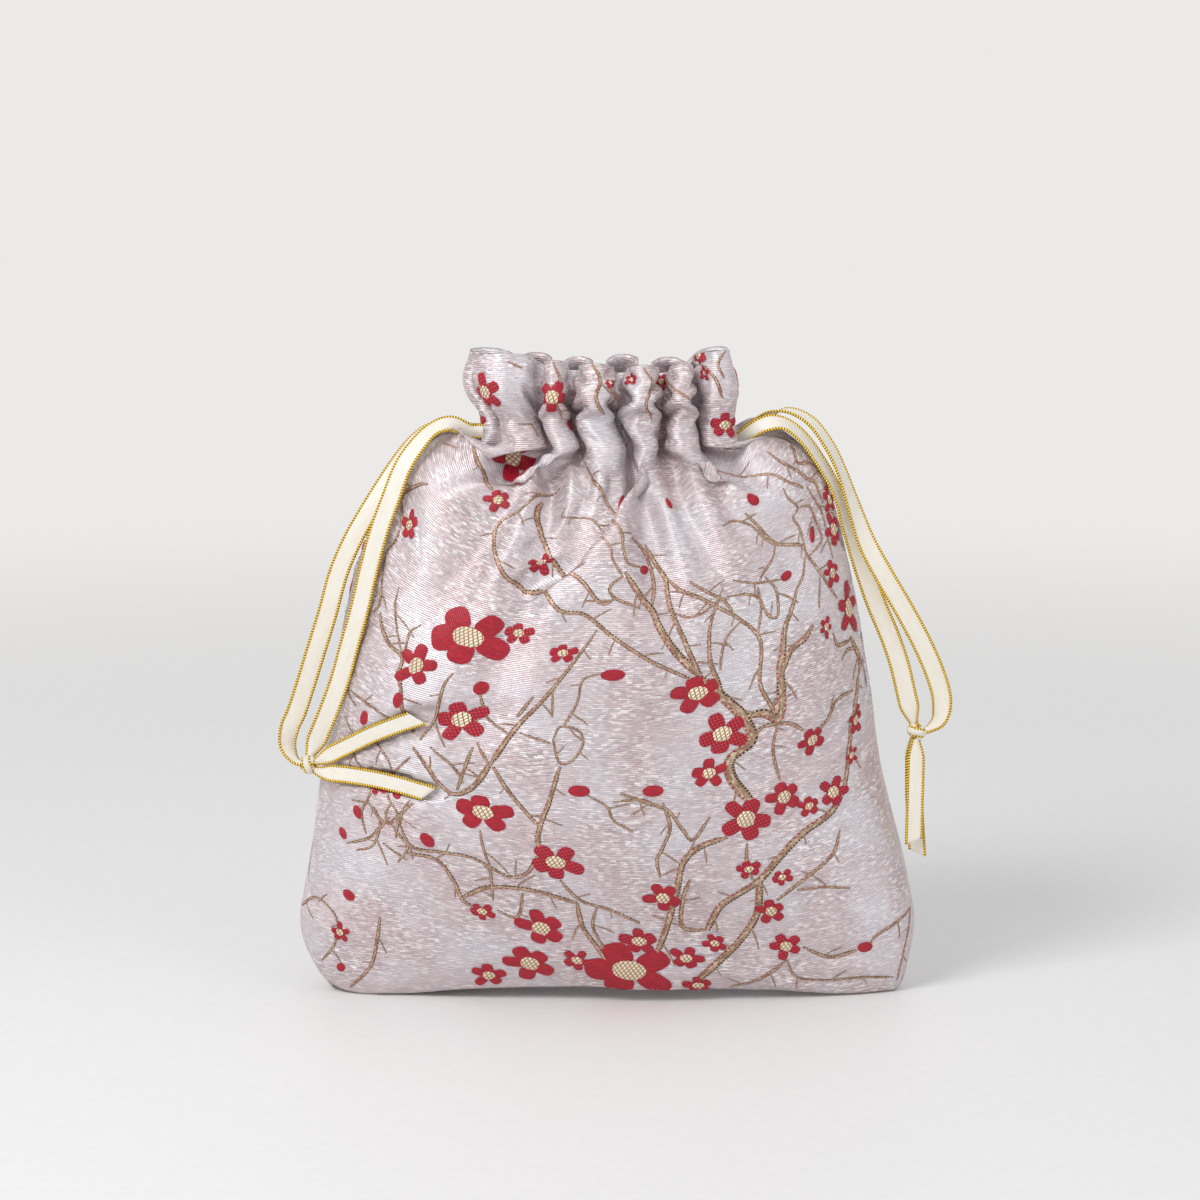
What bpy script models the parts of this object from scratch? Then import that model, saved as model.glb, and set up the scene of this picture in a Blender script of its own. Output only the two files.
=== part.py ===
"""Drawstring gift bag: one brocade sheet sewn into a pouch, with two satin ribbons that close it.

The bag stands on its base, softly filled out. The origin is the middle of the base on the floor,
+X runs along the front to the right, +Y to the back and +Z up. Sizes are in millimetres.
"""

import math

import bpy
import numpy as np

MM = 0.001

# Heights of the sewn bag
BODY_HEIGHT = 166.0
CASING_HEIGHT = 12.0
FRILL_HEIGHT = 21.0

# Half widths, from the base up to the edge of the frill
BASE_HALF_WIDTH = 86.0
BELLY_HALF_WIDTH = 96.5
MIDDLE_HALF_WIDTH = 83.5
SHOULDER_HALF_WIDTH = 68.0
NECK_HALF_WIDTH = 37.5
FRILL_HALF_WIDTH = 40.5

# Half depths, from the base up to the edge of the frill
BASE_HALF_DEPTH = 13.0
BELLY_HALF_DEPTH = 21.5
MIDDLE_HALF_DEPTH = 34.0
SHOULDER_HALF_DEPTH = 22.0
NECK_HALF_DEPTH = 11.0
FRILL_HALF_DEPTH = 13.0

# Cloth, casing and gathers
CLOTH = 0.8
CASING_WALL = 0.9
CHANNEL_HALF_GAP = 1.6
CHANNEL_TAPER = 1.7
TAPER_LAP = 0.4
STITCH_INSET = 0.9
STITCH_HALF_GAP = 1.0
SHOULDER_LIFT = 8.0
PLEAT_FADE = 0.6
PLEAT_DEPTH = 3.6
INNER_PLEAT_DEPTH = 2.0
FRILL_LOOSENESS = 0.6
FRONT_PLEATS = (0.0, 0.26, 0.37, 0.53, 0.67, 0.78, 1.0)
BACK_PLEATS = (0.0, 0.24, 0.38, 0.5, 0.62, 0.76, 1.0)
COLUMNS_IN_PLEAT = 6

# Ribbons: flat outside the bag, bunched narrower inside the casing
RIBBON_WIDTH = 6.35
RIBBON_THICKNESS = 0.4
BUNCHED_WIDTH = 4.0
RIBBON_CLEARANCE = 0.7
KNOT_RADIUS = 3.1
SLIT_HALF_WIDTH = 2.6
SLIT_BITE = 0.5
SLIT_INSET = 1.05
SLIT_REACH = 5.6

LOWER_STITCH = BODY_HEIGHT
UPPER_STITCH = BODY_HEIGHT + CASING_HEIGHT
TOP_EDGE = UPPER_STITCH + FRILL_HEIGHT

# Half width and half depth at the levels that set the bag's outline
BASE_SIZE = (BASE_HALF_WIDTH, BASE_HALF_DEPTH)
BELLY_SIZE = (BELLY_HALF_WIDTH, BELLY_HALF_DEPTH)
MIDDLE_SIZE = (MIDDLE_HALF_WIDTH, MIDDLE_HALF_DEPTH)
SHOULDER_SIZE = (SHOULDER_HALF_WIDTH, SHOULDER_HALF_DEPTH)
NECK_SIZE = (NECK_HALF_WIDTH, NECK_HALF_DEPTH)
FRILL_SIZE = (FRILL_HALF_WIDTH, FRILL_HALF_DEPTH)

LEFT, RIGHT = -1.0, 1.0


def toward(start, end, share):
    """The half width and half depth that lie a share of the way from one pair to another."""
    return tuple(low + (high - low) * share for low, high in zip(start, end))


def pleat_columns():
    """Shares of the girth from the left seam, front first, and how far out of its pleat each column lies."""
    edges = [0.5 * edge for edge in FRONT_PLEATS] + [0.5 + 0.5 * edge for edge in BACK_PLEATS[1:]]
    shares, waves = [], []
    for low, high in zip(edges[:-1], edges[1:]):
        for step in range(COLUMNS_IN_PLEAT):
            across = step / COLUMNS_IN_PLEAT
            shares.append(low + (high - low) * across)
            waves.append(math.sin(math.pi * across))
    return np.array(shares), np.array(waves)


SHARES, WAVES = pleat_columns()


def ring(half_width, half_depth, point, shares=SHARES):
    """One level of the bag: places at shares of its girth, and the directions that face out of it.

    A point of 1 is an ellipse; more pulls the ends to a seam, and less rounds them.
    """
    turn = np.linspace(0.0, 2.0 * math.pi, 1441)
    across = -half_width * np.cos(turn)
    deep = -half_depth * np.sign(np.sin(turn)) * np.abs(np.sin(turn)) ** point
    walked = np.concatenate([[0.0], np.cumsum(np.hypot(np.diff(across), np.diff(deep)))])
    walked /= walked[-1]
    near = 0.004

    def at(share):
        share = np.mod(share, 1.0)
        return np.stack([np.interp(share, walked, across), np.interp(share, walked, deep)], axis=1)

    along = at(shares + near) - at(shares - near)
    out = np.stack([along[:, 1], -along[:, 0]], axis=1)
    return at(shares), out / np.linalg.norm(out, axis=1)[:, None]


def level(height, half_width, half_depth, point, pleat=0.0, lift=0.0):
    """One row of the bag's surface. The pleats stand out of it, and its two ends may ride higher."""
    place, out = ring(half_width, half_depth, point)
    seamward = np.clip(np.abs(place[:, 0]) / half_width, 0.0, 1.0)
    place = place + out * (WAVES * pleat * (1.0 - PLEAT_FADE * seamward**4))[:, None]
    return np.column_stack([place, height + lift * seamward**5])


def body_levels():
    """Rows of the outer cloth from the base to just under the casing."""
    stations = [
        (0.000, BASE_HALF_WIDTH, BASE_HALF_DEPTH, 0.85, 0.00, 0.0),
        (0.040, *toward(BELLY_SIZE, BASE_SIZE, 0.35), 0.95, 0.00, 0.0),
        (0.130, *BELLY_SIZE, 1.10, 0.00, 0.0),
        (0.260, *toward(BELLY_SIZE, MIDDLE_SIZE, 0.40), 1.20, 0.00, 0.0),
        (0.520, *MIDDLE_SIZE, 1.25, 0.00, 0.0),
        (0.720, *toward(MIDDLE_SIZE, SHOULDER_SIZE, 0.32), 1.20, 0.15, 0.0),
        (0.850, *toward(MIDDLE_SIZE, SHOULDER_SIZE, 0.72), 1.15, 0.45, 0.0),
        (0.930, *SHOULDER_SIZE, 1.10, 0.75, 0.25),
        (0.955, *toward(SHOULDER_SIZE, NECK_SIZE, 0.20), 1.00, 0.85, 0.75),
        (0.972, *toward(SHOULDER_SIZE, NECK_SIZE, 0.42), 0.95, 0.80, 1.15),
        (0.984, *toward(SHOULDER_SIZE, NECK_SIZE, 0.62), 0.85, 0.70, 1.15),
        (0.992, *toward(SHOULDER_SIZE, NECK_SIZE, 0.76), 0.80, 0.60, 0.10),
    ]
    steps = (2, 2, 2, 2, 2, 2, 1, 1, 1, 1, 1)
    table = np.array(stations)
    rows = []
    for index, count in enumerate(steps):
        for step in range(count):
            share, width, depth, point, pleat, lift = smooth(table, index, step / count)
            rows.append(
                level(share * BODY_HEIGHT, width, depth, point, pleat * PLEAT_DEPTH, lift * SHOULDER_LIFT)
            )
    share, width, depth, point, pleat, lift = table[-1]
    rows.append(level(share * BODY_HEIGHT, width, depth, point, pleat * PLEAT_DEPTH, lift * SHOULDER_LIFT))
    return rows


def smooth(table, index, share):
    """A Catmull-Rom curve through the rows of a table, share of the way past row index."""
    last = len(table) - 1
    before, start = table[max(index - 1, 0)], table[index]
    end, after = table[min(index + 1, last)], table[min(index + 2, last)]
    return 0.5 * (
        2.0 * start
        + (end - before) * share
        + (2.0 * before - 5.0 * start + 4.0 * end - after) * share**2
        + (3.0 * start - before - 3.0 * end + after) * share**3
    )


def casing_levels():
    """Rows of the outer cloth over the casing, from the lower line of stitches to the upper one."""
    swell = CHANNEL_HALF_GAP + CASING_WALL
    taper = STITCH_INSET + CHANNEL_TAPER - TAPER_LAP
    return [
        neck_level(LOWER_STITCH, STITCH_HALF_GAP, 0.5 * PLEAT_DEPTH),
        neck_level(LOWER_STITCH + taper, swell, 0.95 * PLEAT_DEPTH),
        neck_level(0.5 * (LOWER_STITCH + UPPER_STITCH), swell, PLEAT_DEPTH),
        neck_level(UPPER_STITCH - taper, swell, 0.95 * PLEAT_DEPTH),
        neck_level(UPPER_STITCH, STITCH_HALF_GAP, 0.5 * PLEAT_DEPTH),
    ]


def neck_level(height, offset, pleat):
    """A row at the neck, offset outward from the line that the ribbons follow."""
    return level(height, NECK_HALF_WIDTH + offset, NECK_HALF_DEPTH + offset, 0.8, pleat)


def inner_casing_levels():
    """Rows of the turned-in cloth that closes the casing on the inside, from the top down."""
    swell = -(CHANNEL_HALF_GAP + CLOTH)
    taper = STITCH_INSET + CHANNEL_TAPER - TAPER_LAP
    return [
        neck_level(UPPER_STITCH, -STITCH_HALF_GAP, 0.0),
        neck_level(UPPER_STITCH - taper, swell, -INNER_PLEAT_DEPTH),
        neck_level(LOWER_STITCH + taper, swell, -INNER_PLEAT_DEPTH),
        neck_level(LOWER_STITCH - STITCH_HALF_GAP, -STITCH_HALF_GAP, 0.0),
    ]


def frill_levels():
    """Rows of the frill that stands above the casing, up to its rolled top edge."""
    stations = [
        (0.24, 0.5, 1.00),
        (0.60, 1.0, 1.25),
        (0.93, 0.9, 1.15),
        (1.00, 0.6, 1.00),
    ]
    rows = []
    for share, spread, pleat in stations:
        width, depth = (size + FRILL_LOOSENESS for size in toward(NECK_SIZE, FRILL_SIZE, spread))
        rows.append(level(UPPER_STITCH + share * FRILL_HEIGHT, width, depth, 0.8, pleat * PLEAT_DEPTH))
    return rows


def inward(rows, thickness):
    """The rows again, moved into the cloth by its thickness along the surface's own normals."""
    grid = np.array(rows)
    around = np.roll(grid, -1, axis=1) - np.roll(grid, 1, axis=1)
    upward = np.gradient(grid, axis=0)
    normal = np.cross(around, upward)
    normal /= np.linalg.norm(normal, axis=2)[:, :, None]
    return [row for row in grid - thickness * normal]


def mesh_object(name, points, faces, material):
    """An object with a closed mesh, in metres."""
    mesh = bpy.data.meshes.new(name)
    mesh.from_pydata([tuple(float(value) * MM for value in point) for point in points], [], faces)
    mesh.validate()
    mesh.update()
    mesh.materials.append(material)
    made = bpy.data.objects.new(name, mesh)
    bpy.context.scene.collection.objects.link(made)
    return made


def rings_object(name, rows, material, closed=False):
    """Rings of points joined row by row, and capped at both ends or joined into a ring of their own."""
    count, columns = len(rows), len(rows[0])
    points = [point for row in rows for point in row]
    faces = []
    for row in range(count if closed else count - 1):
        above = (row + 1) % count
        for column in range(columns):
            beside = (column + 1) % columns
            here, there = row * columns, above * columns
            faces.append((here + column, here + beside, there + beside))
            faces.append((here + column, there + beside, there + column))
    if not closed:
        faces.append(tuple(reversed(range(columns))))
        faces.append(tuple((count - 1) * columns + column for column in range(columns)))
    return mesh_object(name, points, faces, material)


def bag_shell(material):
    """The whole sewn sheet as one closed skin: up the outside, over the frill and down the inside."""
    body, casing, frill = body_levels(), casing_levels(), frill_levels()
    inner_body = inward(body, CLOTH)
    inner_body[0][:, 2] = CLOTH
    inner_body = inner_body[:9:2] + inner_body[9:]
    inner_frill = inward(frill, 2.0 * CLOTH)
    inner_frill[-1][:, 2] = TOP_EDGE - 0.5 * CLOTH
    rows = body + casing + frill
    rows += inner_frill[::-1] + inner_casing_levels() + inner_body[::-1]
    return rings_object("brocade_bag", rows, material)


def casing_channel(material):
    """The space between the outer cloth and the turned-in cloth, as a ring that is cut out."""
    low, high = LOWER_STITCH + STITCH_INSET, UPPER_STITCH - STITCH_INSET
    outer, inner = 0.72 * PLEAT_DEPTH, -0.6 * INNER_PLEAT_DEPTH
    rows = [
        neck_level(low, 0.0, 0.0),
        neck_level(low + CHANNEL_TAPER, CHANNEL_HALF_GAP, outer),
        neck_level(high - CHANNEL_TAPER, CHANNEL_HALF_GAP, outer),
        neck_level(high, 0.0, 0.0),
        neck_level(high - CHANNEL_TAPER, -CHANNEL_HALF_GAP, inner),
        neck_level(low + CHANNEL_TAPER, -CHANNEL_HALF_GAP, inner),
    ]
    return rings_object("casing_channel", rows, material, closed=True)


def seam_slit(name, side, material):
    """The gap left in a side seam between the two lines of stitches, as a block that is cut out."""
    near, far = side * (NECK_HALF_WIDTH - SLIT_BITE), side * (NECK_HALF_WIDTH + SLIT_REACH)
    low, high = LOWER_STITCH + SLIT_INSET, UPPER_STITCH - SLIT_INSET
    rows = []
    for across in (near, far) if side > 0 else (far, near):
        rows.append(
            np.array(
                [
                    (across, -SLIT_HALF_WIDTH, low),
                    (across, SLIT_HALF_WIDTH, low),
                    (across, SLIT_HALF_WIDTH, high),
                    (across, -SLIT_HALF_WIDTH, high),
                ]
            )
        )
    return rings_object(name, rows, material)


def cut(target, cutter):
    """Takes the cutter's shape out of the target."""
    cutter.hide_render = True
    cutter.display_type = "WIRE"
    boolean = target.modifiers.new("cut_" + cutter.name, "BOOLEAN")
    boolean.operation = "DIFFERENCE"
    boolean.object = cutter


def join(target, other):
    """Makes the other shape part of the target's one solid."""
    other.hide_render = True
    other.display_type = "WIRE"
    boolean = target.modifiers.new("join_" + other.name, "BOOLEAN")
    boolean.operation = "UNION"
    boolean.object = other


def brocade_bag(material):
    bag = bag_shell(material)
    cut(bag, casing_channel(material))
    cut(bag, seam_slit("left_slit", LEFT, material))
    cut(bag, seam_slit("right_slit", RIGHT, material))
    bag.data.polygons.foreach_set("use_smooth", [True] * len(bag.data.polygons))
    return bag


def route(stops, spacing):
    """Places and facing directions along a smooth curve through hand-set stops of (x, y, z, facing x, y, z)."""
    table = np.array(stops, float)
    fine = [smooth(table, index, step / 12) for index in range(len(table) - 1) for step in range(12)]
    fine = np.array(fine + [table[-1]])
    walked = np.concatenate([[0.0], np.cumsum(np.linalg.norm(np.diff(fine[:, :3], axis=0), axis=1))])
    at = np.linspace(0.0, walked[-1], max(3, math.ceil(walked[-1] / spacing) + 1))
    return np.stack([np.interp(at, walked, fine[:, axis]) for axis in range(6)], axis=1)


def strip_object(name, path, widths, material):
    """A flat strip along a path; each section is a rectangle that faces the way the path says."""
    places, facing = path[:, :3], path[:, 3:]
    ahead = np.gradient(places, axis=0)
    ahead /= np.linalg.norm(ahead, axis=1)[:, None]
    facing = facing - ahead * (facing * ahead).sum(1)[:, None]
    facing /= np.linalg.norm(facing, axis=1)[:, None]
    across = np.cross(facing, ahead)
    half_wide = 0.5 * np.asarray(widths)[:, None] * across
    half_thick = 0.5 * RIBBON_THICKNESS * facing
    rows = [
        np.array([place - wide - thick, place + wide - thick, place + wide + thick, place - wide + thick])
        for place, wide, thick in zip(places, half_wide, half_thick)
    ]
    return rings_object(name, rows, material)


def casing_loop(height, side):
    """A ribbon's way round inside the casing, from one face of its seam slit to the other."""
    turn_off = 0.03
    shares = np.concatenate([SHARES, [1.0]])
    if side > 0:
        shares = shares + 0.5
    inside = shares[(shares - shares[0] > turn_off) & (shares[-1] - shares > turn_off)]
    place, out = ring(NECK_HALF_WIDTH, NECK_HALF_DEPTH, 0.8, inside)
    level_height = np.full(len(place), height)
    flat = np.zeros(len(place))
    return np.column_stack([place, level_height, out, flat])


def ribbon(name, side, height, front_stops, back_stops, tails, knot, material):
    """One ribbon: out of its slit to the knot on both faces, and round the casing between them."""
    loop = casing_loop(height, side)
    first, last = (front_stops, back_stops) if side < 0 else (back_stops, front_stops)
    spacing = 2.6
    lead_in = route(exit_stops(side, height, loop[0]) + first, spacing)[::-1]
    lead_out = route(exit_stops(side, height, loop[-1]) + last, spacing)
    lead_out[:, 3:] *= facing_sign(lead_out[0], loop[-1])
    lead_in[:, 3:] *= facing_sign(lead_in[-1], loop[0])
    path = np.concatenate([lead_in, loop, lead_out])
    strip = strip_object(name, path, ribbon_widths(path, side), material)
    for index, stops in enumerate(tails):
        tail_path = route(stops, 3.0)
        widths = np.full(len(tail_path), RIBBON_WIDTH)
        widths[:3] = (0.45 * RIBBON_WIDTH, 0.6 * RIBBON_WIDTH, 0.9 * RIBBON_WIDTH)
        join(strip, strip_object(f"{name}_tail_{index + 1}", tail_path, widths, material))
    join(strip, knot_object(name + "_knot", knot, material))
    return strip


def exit_stops(side, height, start):
    """The short turn from the casing's line out through the slit, for the face that start lies on."""
    face = math.copysign(1.0, start[1])
    climb = UPPER_STITCH - 3.2 - height
    return [
        (side * (NECK_HALF_WIDTH - 0.1), face * 1.8, height, side * 0.75, face * 0.65, 0.0),
        (side * (NECK_HALF_WIDTH + 1.6), face * 0.85, height + 0.15 * climb, side * 0.15, face * 1.0, 0.0),
        (side * (NECK_HALF_WIDTH + 4.4), face * 1.3, height + 0.7 * climb, 0.0, face * 1.0, 0.1),
    ]


def facing_sign(section, other):
    return 1.0 if float(np.dot(section[3:], other[3:])) >= 0.0 else -1.0


def ribbon_widths(path, side):
    """Bunched inside the casing, full width outside, and pinched where the ends run into the knot."""
    outside = side * path[:, 0] - (NECK_HALF_WIDTH + 6.0)
    widths = BUNCHED_WIDTH + (RIBBON_WIDTH - BUNCHED_WIDTH) * np.clip(outside / 10.0, 0.0, 1.0)
    pinch = np.array([0.4, 0.55, 0.8])
    widths[:3] = np.minimum(widths[:3], RIBBON_WIDTH * pinch)
    widths[-3:] = np.minimum(widths[-3:], RIBBON_WIDTH * pinch[::-1])
    return widths


def knot_object(name, centre, material):
    """The tight lump where a ribbon's two ends are tied, as a slightly flattened ball."""
    turned, upward = 14, 8
    rows = []
    for row in range(1, upward):
        tilt = math.pi * row / upward - 0.5 * math.pi
        radius = KNOT_RADIUS * math.cos(tilt)
        turn = [2.0 * math.pi * step / turned for step in range(turned)]
        rows.append(
            np.array(
                [
                    (
                        centre[0] + radius * math.cos(angle),
                        centre[1] + 0.85 * radius * math.sin(angle),
                        centre[2] + 1.05 * KNOT_RADIUS * math.sin(tilt),
                    )
                    for angle in turn
                ]
            )
        )
    return rings_object(name, rows, material)


def finish(name, colour, roughness, metallic):
    material = bpy.data.materials.new(name)
    material.use_nodes = True
    shader = material.node_tree.nodes["Principled BSDF"]
    shader.inputs["Base Color"].default_value = (*colour, 1.0)
    shader.inputs["Roughness"].default_value = roughness
    shader.inputs["Metallic"].default_value = metallic
    return material


def main():
    for old in list(bpy.data.objects):
        bpy.data.objects.remove(old)
    brocade = finish("silver_lilac_brocade", (0.62, 0.54, 0.60), 0.45, 0.25)
    satin = finish("cream_satin", (0.93, 0.83, 0.62), 0.35, 0.0)
    brocade_bag(brocade)

    lower_ribbon = LOWER_STITCH + STITCH_INSET + RIBBON_CLEARANCE + 0.5 * BUNCHED_WIDTH
    upper_ribbon = UPPER_STITCH - STITCH_INSET - RIBBON_CLEARANCE - 0.5 * BUNCHED_WIDTH

    # Each stop is a place on the ribbon's middle line and the way that its face looks there.
    left_front = [
        (-47.0, -3.4, 177.2, -0.1, -0.8, 0.6),
        (-52.5, -5.4, 175.6, -0.3, -0.6, 0.8),
        (-57.0, -7.0, 171.2, -0.4, -0.8, 0.6),
        (-61.5, -8.8, 164.6, -0.4, -0.9, 0.3),
        (-65.5, -10.1, 154.3, -0.3, -0.9, 0.1),
        (-68.8, -10.7, 145.2, -0.3, -0.9, 0.0),
        (-72.0, -11.0, 133.5, -0.3, -1.0, 0.0),
        (-75.0, -11.2, 121.0, -0.3, -1.0, 0.0),
        (-78.2, -11.0, 110.0, -0.2, -1.0, 0.0),
        (-81.0, -10.6, 100.0, -0.1, -1.0, 0.0),
        (-84.6, -10.2, 90.2, 0.0, -1.0, 0.0),
        (-88.3, -9.6, 81.2, 0.1, -1.0, 0.0),
        (-91.0, -9.0, 75.0, 0.1, -1.0, 0.0),
        (-92.0, -8.6, 72.0, 0.1, -1.0, 0.0),
    ]
    left_back = [
        (-47.0, 3.2, 176.8, -0.1, 0.7, 0.7),
        (-52.8, 3.0, 176.2, -0.3, 0.0, 1.0),
        (-58.4, 1.0, 172.0, -0.6, -0.4, 0.7),
        (-64.2, -3.1, 163.6, -0.5, -0.8, 0.3),
        (-70.9, -6.6, 152.8, -0.4, -0.9, 0.1),
        (-76.8, -6.7, 142.5, -0.3, -0.9, 0.0),
        (-81.4, -6.2, 132.0, -0.2, -1.0, 0.0),
        (-84.9, -6.0, 119.7, -0.1, -1.0, 0.0),
        (-88.3, -6.0, 108.9, 0.0, -1.0, 0.0),
        (-92.0, -6.0, 97.2, 0.1, -1.0, 0.0),
        (-94.8, -6.0, 88.9, 0.1, -1.0, 0.0),
        (-97.6, -6.4, 82.5, 0.3, -1.0, 0.1),
        (-98.6, -6.8, 76.6, 0.6, -0.8, 0.5),
        (-96.4, -7.6, 72.4, 0.3, -0.5, 0.9),
        (-93.8, -8.0, 70.9, 0.2, -0.4, 0.9),
    ]
    left_knot = (-92.3, -8.2, 70.2)
    left_tails = [
        [
            (-91.2, -9.0, 70.6, -0.3, -1.0, 0.2),
            (-88.6, -10.0, 71.6, -0.4, -0.9, 0.1),
            (-81.0, -13.0, 74.8, -0.5, -0.9, 0.0),
            (-72.0, -17.4, 78.8, -0.5, -0.9, 0.0),
            (-62.9, -21.4, 81.9, -0.4, -0.9, 0.0),
            (-55.7, -24.2, 83.6, -0.4, -0.9, 0.0),
        ],
        [
            (-91.4, -9.0, 69.0, -0.3, -1.0, 0.3),
            (-88.6, -10.2, 67.6, -0.4, -0.9, 0.3),
            (-80.0, -13.8, 66.6, -0.5, -0.8, 0.2),
            (-71.0, -18.0, 65.0, -0.4, -0.9, 0.1),
            (-62.0, -21.8, 62.6, -0.4, -0.9, 0.1),
            (-53.5, -24.8, 60.2, -0.3, -0.9, 0.1),
        ],
    ]
    left = ribbon(
        "left_ribbon", LEFT, upper_ribbon, left_front, left_back, left_tails, left_knot, satin
    )

    right_front = [
        (47.0, -3.4, 176.8, 0.1, -0.8, 0.6),
        (53.0, -2.6, 177.2, 0.3, -0.5, 0.8),
        (59.0, -1.4, 173.0, 0.6, -0.5, 0.6),
        (65.2, -1.2, 164.6, 0.8, -0.5, 0.3),
        (70.3, -1.6, 155.2, 0.8, -0.5, 0.2),
        (73.9, -2.0, 144.8, 0.6, -0.8, 0.1),
        (77.9, -2.0, 133.4, 0.3, -1.0, 0.0),
        (82.1, -1.8, 121.8, 0.1, -1.0, 0.0),
        (86.4, -1.4, 111.7, 0.0, -1.0, 0.0),
        (89.6, -1.0, 102.5, 0.0, -1.0, 0.0),
        (91.8, -0.8, 93.5, -0.1, -1.0, 0.0),
        (93.6, -0.6, 86.4, -0.1, -1.0, 0.0),
        (94.4, -0.4, 83.8, -0.1, -1.0, 0.0),
    ]
    right_back = [
        (47.2, 4.0, 177.6, 0.1, 0.6, 0.8),
        (54.2, 3.8, 180.4, 0.3, -0.1, 1.0),
        (61.6, 2.6, 177.4, 0.6, -0.4, 0.7),
        (67.3, 1.2, 170.2, 0.8, -0.5, 0.3),
        (71.4, -0.2, 161.8, 0.8, -0.5, 0.1),
        (75.0, -2.4, 151.5, 0.7, -0.7, 0.1),
        (79.0, -4.2, 140.6, 0.4, -0.9, 0.0),
        (84.4, -4.6, 130.6, 0.2, -1.0, 0.0),
        (90.8, -4.2, 119.7, 0.1, -1.0, 0.0),
        (96.3, -3.4, 109.4, 0.0, -1.0, 0.0),
        (100.3, -2.6, 100.3, 0.0, -1.0, 0.0),
        (102.6, -1.8, 92.3, -0.2, -1.0, 0.0),
        (102.0, -1.2, 86.0, -0.5, -0.7, 0.4),
        (98.6, -0.6, 83.0, -0.2, -0.5, 0.9),
        (96.6, -0.4, 82.4, 0.0, -0.5, 0.9),
    ]
    right_knot = (95.0, -0.4, 81.8)
    right_tails = [
        [
            (95.2, -1.2, 80.2, 0.0, -1.0, 0.0),
            (95.0, -1.8, 77.6, 0.0, -1.0, 0.0),
            (94.9, -2.4, 70.0, 0.0, -1.0, 0.0),
            (94.7, -3.0, 60.0, 0.0, -1.0, 0.0),
            (94.5, -3.6, 46.8, 0.0, -1.0, 0.0),
        ],
        [
            (94.6, 0.8, 80.2, 0.0, -1.0, 0.0),
            (94.6, 1.0, 77.6, 0.0, -1.0, 0.0),
            (94.6, 1.0, 70.0, 0.0, -1.0, 0.0),
            (94.8, 0.4, 60.0, 0.0, -1.0, 0.0),
            (95.8, -0.4, 44.7, 0.0, -1.0, 0.0),
        ],
    ]
    right = ribbon(
        "right_ribbon", RIGHT, lower_ribbon, right_front, right_back, right_tails, right_knot, satin
    )
    for made in (left, right):
        made.data.polygons.foreach_set("use_smooth", [False] * len(made.data.polygons))


main()
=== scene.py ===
# %% [markdown]
# # A small drawstring gift bag in brocade
#
# The bag is one sheet of brocade, folded at the bottom and sewn up both sides. Its top edge is turned
# in, and two rows of stitches make a casing for two satin ribbons. Pulling the ribbons gathers the
# neck, so the cloth above it stands up as a frill and the cloth below it falls in folds.
#
# The soft parts are made the way they come about: the flat cloth is gathered and filled by a small
# cloth simulation, and then the woven pattern is laid on it as it lies on the flat cloth.

# %% Load the model and the helpers
import math

import bpy
import numpy as np
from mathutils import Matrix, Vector
from mathutils.bvhtree import BVHTree
from mathutils.geometry import barycentric_transform


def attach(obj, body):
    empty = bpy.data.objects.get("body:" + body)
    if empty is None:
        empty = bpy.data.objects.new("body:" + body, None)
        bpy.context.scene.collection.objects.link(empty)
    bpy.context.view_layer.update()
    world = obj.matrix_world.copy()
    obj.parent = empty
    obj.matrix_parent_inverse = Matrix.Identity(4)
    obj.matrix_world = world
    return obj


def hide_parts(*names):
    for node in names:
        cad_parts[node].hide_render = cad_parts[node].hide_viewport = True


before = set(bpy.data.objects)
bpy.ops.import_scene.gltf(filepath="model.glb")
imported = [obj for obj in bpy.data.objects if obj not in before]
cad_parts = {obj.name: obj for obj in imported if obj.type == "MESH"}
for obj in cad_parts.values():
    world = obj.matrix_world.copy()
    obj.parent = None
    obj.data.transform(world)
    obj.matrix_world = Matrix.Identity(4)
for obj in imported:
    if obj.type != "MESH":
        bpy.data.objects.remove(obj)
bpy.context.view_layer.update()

MM = 0.001
LEFT, RIGHT = -1, 1


def clear_selection():
    """Deselects everything, because an operator acts on all that is selected."""
    bpy.ops.object.select_all(action="DESELECT")


clear_selection()

# %% [markdown]
# ## The camera
#
# The bag is seen from the front and a little above, from about a metre away. The picture is square,
# 1200 pixels wide. The small function below turns a pixel of that picture into a ray through the scene.

# %% Camera at the photograph's viewing angle
PICTURE = 1200
SENSOR = 36.0
LENS = 109.5
CAMERA_DISTANCE = 1.115
CAMERA_PITCH = math.radians(9.3)
AIM = Vector((-0.0021, 0.0, 0.1225))

camera_away = Vector((0.0, -math.cos(CAMERA_PITCH), math.sin(CAMERA_PITCH)))
bpy.ops.object.camera_add(
    location=AIM + camera_away * CAMERA_DISTANCE, rotation=(0.5 * math.pi - CAMERA_PITCH, 0.0, 0.0)
)
camera = bpy.context.object
camera.data.lens = LENS
camera.data.sensor_width = SENSOR
camera.data.clip_start = 0.01
bpy.context.scene.camera = camera
camera_turn = camera.rotation_euler.to_matrix()


def ray_through(pixel_x, pixel_y):
    """The direction from the camera through a pixel of the photograph."""
    across = (pixel_x / PICTURE - 0.5) * SENSOR
    upward = (0.5 - pixel_y / PICTURE) * SENSOR
    return (camera_turn @ Vector((across, upward, -LENS))).normalized()


print("camera", tuple(round(value, 4) for value in camera.location))

# %% [markdown]
# ## The ribbons' routes
#
# Each ribbon leaves the casing at a side seam as two strands, which meet in a knot and end in two short
# tails. A route is a list of stops: a place on the ribbon's middle line, in millimetres, and the way
# that its face looks there, because a ribbon turns as it goes.

# %% Routes of the ribbons
RIBBON_WIDTH = 6.35
NECK_HALF_WIDTH = 37.5
UPPER_SEAM = 178.0

LEFT_HEIGHT, RIGHT_HEIGHT = 174.4, 169.6


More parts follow.
